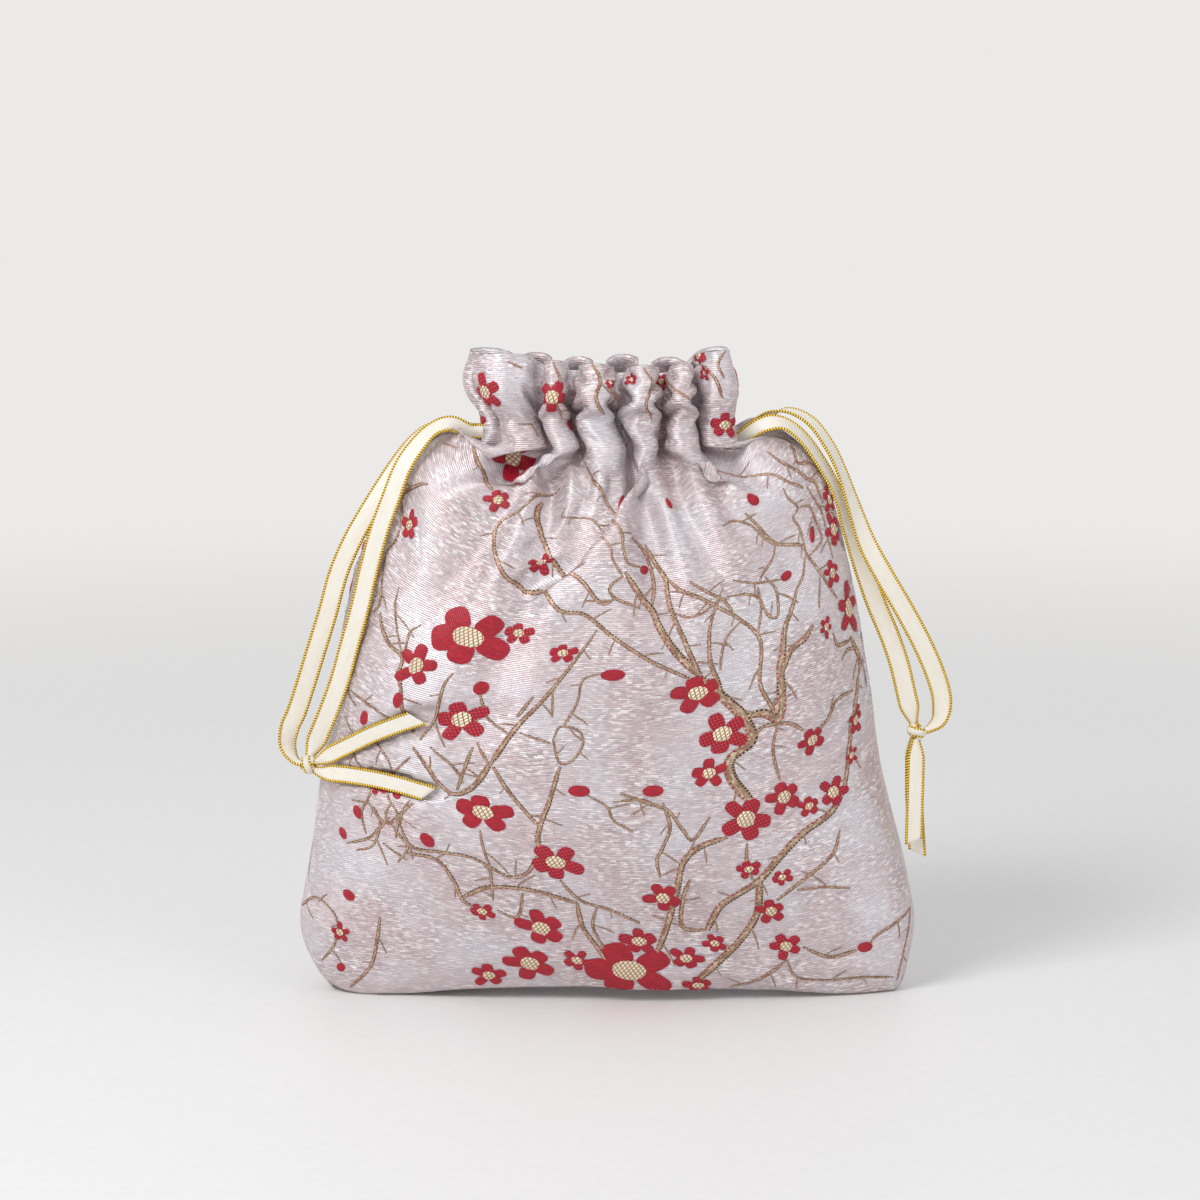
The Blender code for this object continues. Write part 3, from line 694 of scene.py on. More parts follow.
def smooth_low_seams(points):
    """Takes out the small creases beside the lower side seams, where the real ones are pressed open."""
    columns = points.shape[1]
    place = np.arange(columns)
    from_seam = np.minimum(np.minimum(place, columns - place), np.abs(place - columns // 2))
    near = np.exp(-((from_seam / SEAM_REACH) ** 2))[None, :]
    for _ in range(SEAM_PASSES):
        height = points[..., 2]
        share = near * smoothstep(1.5, 9.0, height) * (1 - smoothstep(70.0, 92.0, height))
        points = points + 0.5 * share[..., None] * (neighbours_middle(points, 0.3) - points)
    return points


def smooth_below_neck(points):
    """Takes out the rolls that lie level below the gather, where the real cloth hangs in upright folds."""
    rise = np.linspace(0, TOP_EDGE, len(points))[:, None]
    share = smoothstep(LOWER_STITCHES - 40.0, LOWER_STITCHES - 18.0, rise)
    share = share * (1 - smoothstep(LOWER_STITCHES - 5.0, LOWER_STITCHES + 2.5, rise))
    for _ in range(NECK_PASSES):
        points = points + 0.6 * share[..., None] * (neighbours_middle(points, 0.15) - points)
    return points


# %% Run the simulation, coarse and then fine
COARSE, FINE = (124, 70), (248, 139)
COARSE_STEPS, FINE_STEPS = 300, 160

coarse_start, coarse_sewn, coarse_rise = starting_shape(*COARSE)
coarse = gathered_cloth(coarse_start, coarse_sewn, coarse_rise, COARSE_STEPS, coarse_start, 0.05)
fine_start, fine_sewn, fine_rise = starting_shape(*FINE)
cloth = finer(coarse, FINE[1], FINE[0])
cloth[fine_sewn] = fine_start[fine_sewn]
above = fine_rise > UPPER_STITCHES
cloth[above] = 0.5 * (cloth[above] + fine_start[above])
cloth = gathered_cloth(cloth, fine_sewn, fine_rise, FINE_STEPS, fine_start, 0.04)
cloth = smooth_below_neck(smooth_low_seams(cloth))
print("gathered cloth", cloth.shape, "highest", round(float(cloth[..., 2].max()), 1), "mm")

# %% [markdown]
# ## The folds below the gather
#
# The drawn neck pulls the cloth into folds that fan out over the shoulders. The narrow valleys between
# them are too sharp for the simulated cloth, so they are pressed in along lines chosen from the
# photograph: places across and up the bag in millimetres, then the width and the depth of the valley.
# The cloth beside a valley rises a little.

# %% Folds that fan out from the neck
FRONT_FOLDS = [
    ([(-15.5, 170.0), (-17.0, 158.0), (-20.0, 144.0), (-26.0, 122.0)], 4.8, 10.5),
    ([(-29.0, 170.0), (-34.0, 160.0), (-42.0, 149.0), (-54.0, 134.0)], 5.4, 5.0),
    ([(-23.0, 170.0), (-27.0, 158.0), (-34.0, 146.0), (-44.0, 133.0), (-58.0, 112.0)], 5.4, 6.5),
    ([(-6.5, 170.0), (-7.0, 160.0), (-9.5, 148.0), (-15.0, 126.0)], 3.6, 6.5),
    ([(1.5, 169.0), (1.0, 158.0), (-1.0, 142.0)], 2.6, 3.2),
    ([(9.5, 170.0), (11.5, 158.0), (13.5, 146.0), (18.0, 130.0), (26.0, 108.0)], 5.6, 11.0),
    ([(17.5, 170.0), (21.5, 158.0), (27.0, 145.0), (34.0, 130.0), (44.0, 108.0)], 4.4, 7.0),
    ([(28.5, 171.0), (33.0, 162.0), (39.5, 152.0), (49.0, 136.0)], 4.4, 6.0),
    ([(36.0, 170.0), (45.0, 159.0), (53.0, 147.0), (60.0, 129.0)], 4.6, 3.6),
    ([(-60.0, 155.0), (-63.0, 140.0), (-66.0, 122.0)], 6.0, 1.4),
    ([(-24.0, 127.0), (-32.0, 112.0), (-36.0, 94.0), (-52.0, 76.0)], 7.0, 2.2),
    ([(20.0, 108.0), (31.0, 92.0), (38.0, 74.0)], 8.0, 2.0),
]
BACK_FOLDS = [
    ([(20.0, 170.0), (22.0, 157.0), (27.0, 143.0), (35.0, 122.0)], 4.6, 9.0),
    ([(9.0, 170.0), (10.0, 158.0), (12.0, 146.0)], 3.0, 3.4),
    ([(-3.0, 170.0), (-3.5, 157.0), (-6.0, 142.0), (-11.0, 118.0)], 4.8, 10.0),
    ([(-14.0, 170.0), (-18.0, 157.0), (-24.0, 143.0), (-35.0, 122.0)], 4.4, 7.0),
    ([(-27.0, 170.0), (-34.0, 160.0), (-43.0, 149.0), (-53.0, 136.0)], 4.6, 3.4),
    ([(31.0, 170.0), (38.0, 160.0), (47.0, 149.0), (57.0, 136.0)], 5.0, 2.8),
]
FOLD_SHOULDER = 0.35
DEEPEST_FOLD = 8.8
FOLDS_FULL_FROM, FOLDS_END = LOWER_STITCHES - 13.0, LOWER_STITCHES - 2.0

# %% Press the folds in
def pressed_folds(points):
    """The cloth with its folds pressed in, each one fading away down its own line."""
    rows, columns, _ = points.shape
    normal = surface_normals(points)
    normal /= np.linalg.norm(normal, axis=2, keepdims=True) + 1e-9
    height = points[..., 2]
    rise = np.linspace(0, TOP_EDGE, rows)[:, None]
    below = 1 - smoothstep(FOLDS_FULL_FROM, FOLDS_END, rise)
    front = np.arange(columns) < columns // 2
    press = np.zeros((rows, columns))
    for folds, face in ((FRONT_FOLDS, front), (BACK_FOLDS, ~front)):
        for stops, width, depth in folds:
            line = smooth_route([(x, 0.0, z, 0.0, -1.0, 0.0) for x, z in stops], 2.0)[:, [0, 2]]
            away = np.full((rows, columns), 1e9)
            share = np.zeros((rows, columns))
            for place, (x, z) in enumerate(line):
                distance = np.hypot(points[..., 0] - x, height - z)
                share = np.where(distance < away, place / (len(line) - 1), share)
                away = np.minimum(away, distance)
            wide = width * (0.7 + 1.1 * share)
            scaled = (away / wide) ** 2
            valley = np.exp(-scaled) - FOLD_SHOULDER * scaled * np.exp(-0.5 * scaled)
            press += depth * (1 - share) ** 0.9 * valley * face
    press = DEEPEST_FOLD * np.tanh(press / DEEPEST_FOLD)
    return points - normal * (press * below)[..., None]


# %% [markdown]
# ## Materials
#
# Every colour is written in sRGB as read off the photograph and turned into a linear value by one
# function. Patterns are measured in millimetres of real cloth, through the UV maps of the pieces.

# %% Helpers for the materials
def linear(colour):
    """An sRGB colour such as "CDC4CB" as the linear values that the shaders take."""
    values = [int(colour[at : at + 2], 16) / 255 for at in (0, 2, 4)]
    return tuple(v / 12.92 if v <= 0.04045 else ((v + 0.055) / 1.055) ** 2.4 for v in values) + (1.0,)


def add_node(tree, kind, inputs=None, **settings):
    """Adds a node, sets its own settings, and sets or links its inputs."""
    node = tree.nodes.new("ShaderNode" + kind)
    for name, value in settings.items():
        setattr(node, name, value)
    for name, value in (inputs or {}).items():
        if isinstance(value, bpy.types.NodeSocket):
            tree.links.new(value, node.inputs[name])
        else:
            node.inputs[name].default_value = value
    return node


def sum_of(tree, operation, first, second=0.0, third=0.0):
    """The output of one step of arithmetic."""
    return add_node(tree, "Math", {0: first, 1: second, 2: third}, operation=operation).outputs[0]


def ramp(tree, value, stops):
    """Turns a value into a colour by a short list of places and colours."""
    node = add_node(tree, "ValToRGB", {"Fac": value})
    while len(node.color_ramp.elements) < len(stops):
        node.color_ramp.elements.new(0.5)
    for element, (place, colour) in zip(node.color_ramp.elements, stops):
        element.position = place
        element.color = linear(colour)
    return node.outputs["Color"]


def mixed(tree, share, first, second):
    """One colour over another, by a share from 0 to 1."""
    node = add_node(tree, "Mix", data_type="RGBA")
    for place, value in ((0, share), (6, first), (7, second)):
        if isinstance(value, bpy.types.NodeSocket):
            tree.links.new(value, node.inputs[place])
        else:
            node.inputs[place].default_value = value
    return node.outputs[2]


def bumped(tree, shader, height, distance):
    """Raises the surface by a height from 0 to 1, times a distance in millimetres."""
    bump = add_node(tree, "Bump", {"Height": height, "Distance": distance * MM, "Strength": 1.0})
    tree.links.new(bump.outputs["Normal"], shader.inputs["Normal"])


def new_material(name, roughness, metallic, sheen=0.0, sheen_colour="FFFFFF"):
    """A named material with its tree and its main shader."""
    material = bpy.data.materials.new(name)
    material.use_nodes = True
    tree = material.node_tree
    shader = tree.nodes["Principled BSDF"]
    shader.inputs["Roughness"].default_value = roughness
    shader.inputs["Metallic"].default_value = metallic
    shader.inputs["Sheen Weight"].default_value = sheen
    shader.inputs["Sheen Tint"].default_value = linear(sheen_colour)
    return material, tree, shader

# %% Helpers for patterns in millimetres
def millimetres(tree):
    """The two coordinates of the piece's own map, in millimetres."""
    place = add_node(tree, "UVMap", uv_map="cloth").outputs["UV"]
    parts = add_node(tree, "SeparateXYZ", {"Vector": place})
    across, up = (sum_of(tree, "MULTIPLY", parts.outputs[axis], 1 / MM) for axis in (0, 1))
    return across, up


def along_and_across(tree):
    """How far along a strip, in millimetres, and where across it, from -1 to 1."""
    place = add_node(tree, "UVMap", uv_map="cloth").outputs["UV"]
    parts = add_node(tree, "SeparateXYZ", {"Vector": place})
    return sum_of(tree, "MULTIPLY", parts.outputs[0], 1 / MM), parts.outputs[1]


def wave(tree, value, pitch, shift=0.0):
    """A smooth wave from 0 to 1 along a length in millimetres."""
    turned = sum_of(tree, "MULTIPLY_ADD", value, 2 * math.pi / pitch, shift)
    return sum_of(tree, "MULTIPLY_ADD", sum_of(tree, "SINE", turned), 0.5, 0.5)


def thread_cells(tree, across, up, length, height):
    """A different value from 0 to 1 for each stretch of thread, each row of threads moved along by itself."""
    row = sum_of(tree, "FLOOR", sum_of(tree, "DIVIDE", up, height))
    shift = add_node(tree, "TexWhiteNoise", {"W": row}, noise_dimensions="1D").outputs["Value"]
    place = sum_of(tree, "FLOOR", sum_of(tree, "ADD", sum_of(tree, "DIVIDE", across, length), shift))
    cell = add_node(tree, "CombineXYZ", {0: place, 1: row}).outputs[0]
    return add_node(tree, "TexWhiteNoise", {"Vector": cell}, noise_dimensions="2D").outputs["Value"]


def soft_noise(tree, across, up, wide, high, detail=2.0):
    """Soft patches about as wide and high as given, in millimetres."""
    place = add_node(
        tree, "CombineXYZ", {0: sum_of(tree, "DIVIDE", across, wide), 1: sum_of(tree, "DIVIDE", up, high)}
    ).outputs[0]
    return add_node(tree, "TexNoise", {"Vector": place, "Scale": 1.0, "Detail": detail}).outputs["Fac"]


# %% Silver lilac lame brocade
# Lame is woven from flat metallic weft over lilac and pink warp. Some stretches of weft are painted white
# in the base colour as glints, a painted highlight along the rows, and the warp shows as darker lines between
# them. A row of real weft is about 0.25 mm high, which is finer than a pixel here, so the rows are drawn 0.6
# mm high.
WEFT_PITCH = 0.6


def brocade_ground():
    material, tree, shader = new_material("lame_brocade", 0.4, 0.4, 0.2, "FFE0D0")
    across, up = millimetres(tree)
    floats = thread_cells(tree, across, up, 1.5, WEFT_PITCH)
    # The white stop paints glints into the base colour: a painted highlight on some stretches of weft.
    colour = ramp(
        tree, floats, [(0.0, "C0B4B8"), (0.3, "D2C6C9"), (0.68, "E0D6D8"), (0.86, "FFFFFF"), (1.0, "DFC3C4")]
    )
    under = thread_cells(tree, across, sum_of(tree, "ADD", up, 0.5 * WEFT_PITCH), 1.2, WEFT_PITCH)
    between_rows = sum_of(tree, "POWER", wave(tree, up, WEFT_PITCH, 0.5 * math.pi), 1.5)
    warp = sum_of(tree, "MULTIPLY", between_rows, ramp(tree, under, [(0.2, "101010"), (0.6, "FFFFFF")]))
    colour = mixed(tree, sum_of(tree, "MULTIPLY", warp, 0.75), colour, linear("968089"))
    twill = wave(tree, sum_of(tree, "MULTIPLY_ADD", across, 1.0, sum_of(tree, "MULTIPLY", up, 1.6)), 0.9)
    near_motif = ramp(tree, soft_noise(tree, across, up, 24.0, 30.0), [(0.42, "000000"), (0.6, "FFFFFF")])
    bluish = mixed(tree, twill, linear("C4C4CE"), linear("F4F5F8"))
    share = sum_of(tree, "MULTIPLY", near_motif, 0.55)
    colour = mixed(tree, share, colour, bluish)
    rosy = ramp(tree, soft_noise(tree, across, up, 30.0, 18.0, 3.0), [(0.35, "000000"), (0.75, "FFFFFF")])
    colour = mixed(tree, sum_of(tree, "MULTIPLY", rosy, 0.48), colour, linear("C8ABAB"))
    tree.links.new(colour, shader.inputs["Base Color"])
    crinkle = soft_noise(tree, across, up, 3.6, 11.0, 2.0)
    height = sum_of(tree, "MULTIPLY_ADD", floats, 0.2, sum_of(tree, "MULTIPLY", between_rows, -0.25))
    height = sum_of(tree, "MULTIPLY_ADD", crinkle, 0.7, height)
    bumped(tree, shader, height, 0.34)
    shine = sum_of(tree, "MULTIPLY_ADD", floats, 0.2, 0.31)
    tree.links.new(shine, shader.inputs["Roughness"])
    return material


# %% Branches woven in tan and gold thread, with brown dashes along one edge and red dots along the other
def branch_thread():
    material, tree, shader = new_material("tan_gold_thread", 0.45, 0.35)
    along, across = along_and_across(tree)
    cells = thread_cells(tree, along, across, 1.3, 0.34)
    colour = ramp(tree, cells, [(0.0, "876852"), (0.35, "9E806A"), (0.75, "B3967E"), (1.0, "D9C4A8")])
    dash = sum_of(tree, "GREATER_THAN", wave(tree, along, 1.1), 0.4)
    brown_side = sum_of(tree, "GREATER_THAN", across, 0.52)
    colour = mixed(tree, sum_of(tree, "MULTIPLY", dash, brown_side), colour, linear("3E2A20"))
    dot = sum_of(tree, "GREATER_THAN", wave(tree, along, 1.6, 1.0), 0.75)
    red_side = sum_of(tree, "LESS_THAN", across, -0.5)
    colour = mixed(tree, sum_of(tree, "MULTIPLY", dot, red_side), colour, linear("A3273A"))
    tree.links.new(colour, shader.inputs["Base Color"])
    height = sum_of(tree, "MULTIPLY_ADD", wave(tree, along, 0.7), 0.25, sum_of(tree, "MULTIPLY", cells, 0.6))
    bumped(tree, shader, height, 0.09)
    return material


# %% Smooth crimson silk for the darker petals and the buds
def smooth_crimson():
    material, tree, shader = new_material("smooth_crimson_silk", 0.5, 0.0, 0.08, "E0506A")
    across, up = millimetres(tree)
    twill = wave(tree, sum_of(tree, "ADD", across, sum_of(tree, "MULTIPLY", up, 0.8)), 0.75)
    threads = thread_cells(tree, across, up, 1.2, 0.3)
    blend = sum_of(tree, "MULTIPLY_ADD", twill, 0.5, sum_of(tree, "MULTIPLY", threads, 0.5))
    colour = ramp(tree, blend, [(0.0, "7C081B"), (0.45, "A80C25"), (1.0, "C41834")])
    tree.links.new(colour, shader.inputs["Base Color"])
    bumped(tree, shader, blend, 0.14)
    return material

# %% The brighter crimson, in a basket weave
def basket_crimson():
    material, tree, shader = new_material("basket_crimson_silk", 0.45, 0.0, 0.08, "F06078")
    across, up = millimetres(tree)
    slanted = sum_of(tree, "MULTIPLY_ADD", up, 0.5, across)
    risen = sum_of(tree, "MULTIPLY_ADD", across, -0.35, up)
    basket = sum_of(tree, "MULTIPLY", wave(tree, slanted, 1.0), wave(tree, risen, 1.1))
    colour = ramp(tree, basket, [(0.0, "7E081C"), (0.3, "BE102E"), (0.75, "E2223F")])
    tree.links.new(colour, shader.inputs["Base Color"])
    bumped(tree, shader, basket, 0.22)
    return material


# %% Cream and gold thread for the blossoms' middles, crossed by brown threads
def middle_thread():
    material, tree, shader = new_material("cream_gold_thread", 0.4, 0.25)
    across, up = millimetres(tree)
    first = sum_of(tree, "ADD", across, sum_of(tree, "MULTIPLY", up, 0.35))
    second = sum_of(tree, "SUBTRACT", up, across)
    lines = sum_of(tree, "MAXIMUM", wave(tree, first, 1.25), wave(tree, second, 1.3))
    colour = ramp(tree, lines, [(0.55, "F6EAD2"), (0.85, "E0C8A4"), (0.985, "8E6443")])
    tree.links.new(colour, shader.inputs["Base Color"])
    bumped(tree, shader, sum_of(tree, "SUBTRACT", 1.0, lines), 0.2)
    return material


# %% Cream satin ribbon, a fine close weave that lets a little light through
def ribbon_satin():
    material, tree, shader = new_material("cream_satin", 0.34, 0.0, 0.3, "FFFAF0")
    along, across = along_and_across(tree)
    threads = thread_cells(tree, along, across, 2.6, 0.045)
    patches = soft_noise(tree, along, sum_of(tree, "MULTIPLY", across, 3.0), 9.0, 3.0)
    blend = sum_of(tree, "MULTIPLY_ADD", threads, 0.45, sum_of(tree, "MULTIPLY", patches, 0.55))
    colour = ramp(tree, blend, [(0.1, "F7EEDA"), (0.5, "FDF8EC"), (0.9, "FFFEF9")])
    tree.links.new(colour, shader.inputs["Base Color"])
    ribs = wave(tree, across, 0.09)
    height = sum_of(tree, "MULTIPLY_ADD", ribs, 0.5, sum_of(tree, "MULTIPLY", threads, 0.5))
    bumped(tree, shader, height, 0.035)
    seen_through = add_node(tree, "BsdfTranslucent", {"Color": linear("FFF3DC")})
    both = add_node(tree, "MixShader", {0: 0.15})
    tree.links.new(shader.outputs[0], both.inputs[1])
    tree.links.new(seen_through.outputs[0], both.inputs[2])
    tree.links.new(both.outputs[0], tree.nodes["Material Output"].inputs["Surface"])
    return material


# %% Gold metallic thread, with painted shade in olive between the twists and a painted highlight on them
def gold_thread():
    material, tree, shader = new_material("gold_thread", 0.3, 0.35)
    along, around = along_and_across(tree)
    twist = wave(tree, sum_of(tree, "MULTIPLY_ADD", around, 0.85, along), 0.85)
    # The olive stop is painted shade in the grooves between the twists, and the pale yellow stop is a painted
    # highlight on their crests.
    colour = ramp(tree, twist, [(0.0, "66500E"), (0.3, "C2920C"), (0.65, "F0BE18"), (1.0, "FFE45C")])
    tree.links.new(colour, shader.inputs["Base Color"])
    bumped(tree, shader, twist, 0.12)
    return material


# %% Make the materials
BROCADE = brocade_ground()
BRANCH = branch_thread()
SMOOTH_CRIMSON = smooth_crimson()
BASKET_CRIMSON = basket_crimson()
MIDDLE = middle_thread()
SATIN = ribbon_satin()
GOLD = gold_thread()
print("materials", sorted(material.name for material in bpy.data.materials))

# %% [markdown]
# ## The brocade sheet
#
# The simulated points become a finer mesh, with the turned-in top edge added on the inside. Its UV map
# is the flat cloth in metres, so the weave follows the cloth into every fold. The side seams are left
# open between the two rows of stitches, where the ribbons come out.

# %% Brocade sheet as a mesh
COLUMNS, ROWS = 360, 232
HEM_ROWS = 31
HEM_GAP = 0.9
HOLE_HALF_WIDTH = 2.4

surface = pressed_folds(finer(cloth, ROWS, COLUMNS))
facing = surface_normals(surface)
facing /= np.linalg.norm(facing, axis=2, keepdims=True)
row_rise = np.linspace(0, TOP_EDGE, ROWS)


def hem_rows():
    """The turned-in edge: over the top, and down the inside of the frill to the lower stitches."""
    rows = []
    for row in range(1, HEM_ROWS + 1):
        twin = ROWS - 1 - row
        inset = HEM_GAP * min(1.0, 0.5 + 0.25 * row)
        rows.append(surface[twin] - facing[twin] * inset)
    return np.array(rows)


sheet_points = np.concatenate([surface, hem_rows()])
sheet_rise = np.concatenate([row_rise, TOP_EDGE + (TOP_EDGE / (ROWS - 1)) * np.arange(1, HEM_ROWS + 1)])

# %% Places of the sheet's points on the flat cloth
def flat_places(rise, columns):
    """Across and up the flat cloth for each point of a row, in millimetres from the front's middle line."""
    share = (np.arange(columns) + 0.5) / columns
    left, right = half_width(rise, LEFT)[:, None], half_width(rise, RIGHT)[:, None]
    across = np.where(share < 0.5, 2 * share, 2 - 2 * share)
    return -left + (left + right) * across


sheet_across = flat_places(np.minimum(sheet_rise, TOP_EDGE), COLUMNS)


def point_index(row, column):
    """The bottom row is a fold, so its front and back points are the same ones."""
    column = column % COLUMNS
    return row * COLUMNS + (min(column, COLUMNS - 1 - column) if row == 0 else column)

# %% Helpers that make and join meshes
def mesh_piece(name, points, faces, uv=None, material_of=None, materials=()):
    """A piece from points in millimetres, with smooth faces and a UV for each corner of each face."""
    mesh = bpy.data.meshes.new(name)
    mesh.from_pydata((np.asarray(points) * MM).tolist(), [], faces)
    if uv is not None:
        corners = np.array([corner for face in uv for corner in face], np.float32).ravel()
        mesh.uv_layers.new(name="cloth").data.foreach_set("uv", corners)
    for material in materials:
        mesh.materials.append(material)
    if material_of is not None:
        mesh.polygons.foreach_set("material_index", material_of)
    mesh.polygons.foreach_set("use_smooth", [True] * len(mesh.polygons))
    mesh.update()
    piece = bpy.data.objects.new(name, mesh)
    bpy.context.scene.collection.objects.link(piece)
    return piece


def along_path(points):
    """How far along a line each point lies, and the way the line runs there."""
    walked = np.concatenate([[0.0], np.cumsum(np.linalg.norm(np.diff(points, axis=0), axis=1))])
    ahead = np.gradient(points, axis=0)
    return walked, ahead / np.linalg.norm(ahead, axis=1)[:, None]


def joined(parts):
    """Several lots of points, faces and UVs as one, and which lot each face came from."""
    points, faces, uv, lots = [], [], [], []
    start = 0
    for lot, (part_points, part_faces, part_uv) in parts:
        points.append(part_points)
        faces += [[start + corner for corner in face] for face in part_faces]
        uv += part_uv
        lots += [lot] * len(part_faces)
        start += len(part_points)
    return np.concatenate(points), faces, uv, lots

# %% Make the brocade sheet
def brocade_sheet():
    """The whole sheet as quads, with the flat cloth as its UV map; the back lies beside the front there."""
    faces, uv = [], []
    half = COLUMNS // 2
    thread = 2 * PANEL / COLUMNS
    for row in range(len(sheet_points) - 1):
        in_casing = LOWER_STITCHES + 1.0 < sheet_rise[row] < UPPER_STITCHES - 1.5
        for column in range(COLUMNS):
            from_seam = thread * min(abs(column + 1 - half), column + 1, COLUMNS - column - 1)
            if in_casing and from_seam < HOLE_HALF_WIDTH:
                continue
            beside = (column + 1) % COLUMNS
            corners = [(row, column), (row, beside), (row + 1, beside), (row + 1, column)]
            faces.append([point_index(*corner) for corner in corners])
            away = 2 * PANEL if column >= half - 1 and column < COLUMNS - 1 else 0.0
            side = [(sheet_across[r, c] * (-1 if away else 1) + away, sheet_rise[r]) for r, c in corners]
            uv.append([(x * MM, z * MM) for x, z in side])
    return mesh_piece("brocade_cloth", sheet_points.reshape(-1, 3), faces, uv, materials=[BROCADE])


brocade_cloth = brocade_sheet()
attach(brocade_cloth, "root")
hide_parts("brocade_bag")
print("brocade cloth", len(brocade_cloth.data.polygons), "quads")

# %% [markdown]
# ## The woven pattern
#
# Plum branches with crimson blossoms and buds are woven into the brocade. Their lines and places are
# chosen on the photograph, in its pixels. A ray through each pixel finds the place on the cloth and so
# on the flat cloth, where the thin strips and petals are drawn. So they follow the cloth into its folds,
# as a weave does. The back has the same pattern as the front.

# %% Places on the flat cloth
def flat_finder():
    """The front of the cloth as triangles, each corner with its place on the flat cloth."""
    half = COLUMNS // 2
    row, column = np.meshgrid(np.arange(ROWS - 1), np.arange(half - 1), indexing="ij")
    here = (row * half + column).ravel()
    corners = np.stack([here, here + 1, here + half + 1, here + half], axis=1)
    triangles = np.concatenate([corners[:, [0, 1, 2]], corners[:, [0, 2, 3]]]).tolist()
    points = (surface[:, :half].reshape(-1, 3) * MM).tolist()
    rise = np.repeat(row_rise, half)
    flat = np.column_stack([sheet_across[:ROWS, :half].ravel(), rise, np.zeros(len(rise))]).tolist()
    return BVHTree.FromPolygons(points, triangles), points, triangles, flat


FRONT_TREE, FRONT_POINTS, FRONT_TRIANGLES, FRONT_FLAT = flat_finder()

# %% From the photograph's pixels to the flat cloth, and from there to the cloth in its folds
def on_flat_cloth(pixels):
    """The places on the flat cloth that show at these pixels of the photograph."""
    places = []
    for pixel_x, pixel_y in pixels:
        hit, _, index, _ = FRONT_TREE.ray_cast(camera.location, ray_through(pixel_x, pixel_y))
        if hit is None:
            continue
        corners = [Vector(FRONT_POINTS[corner]) for corner in FRONT_TRIANGLES[index]]
        flat = [Vector(FRONT_FLAT[corner]) for corner in FRONT_TRIANGLES[index]]
        across, rise, _ = barycentric_transform(hit, *corners, *flat)
        places.append((across, rise))
    return places


def on_cloth(behind, across, rise, lift):
    """Points in millimetres a little above the cloth, from places on the flat cloth."""
    rise = np.clip(rise, 0.4, TOP_EDGE - 0.3)
    left, right = half_width(rise, LEFT), half_width(rise, RIGHT)
    share = np.clip(((-across if behind else across) + left) / (left + right), 0.004, 0.996)
    column = (1 - 0.5 * share if behind else 0.5 * share) * COLUMNS - 0.5
    row = rise / TOP_EDGE * (ROWS - 1)
    low_row = np.clip(np.floor(row).astype(int), 0, ROWS - 2)
    low_column = np.floor(column).astype(int)
    up, over = (row - low_row)[:, None], (column - low_column)[:, None]
    first, second = np.mod(low_column, COLUMNS), np.mod(low_column + 1, COLUMNS)

    def between(grid):
        low = grid[low_row, first] * (1 - over) + grid[low_row, second] * over
        high = grid[low_row + 1, first] * (1 - over) + grid[low_row + 1, second] * over
        return low * (1 - up) + high * up

    look = between(facing)
    look /= np.linalg.norm(look, axis=1)[:, None] + 1e-9
    return between(surface) + look * np.asarray(lift)[:, None]


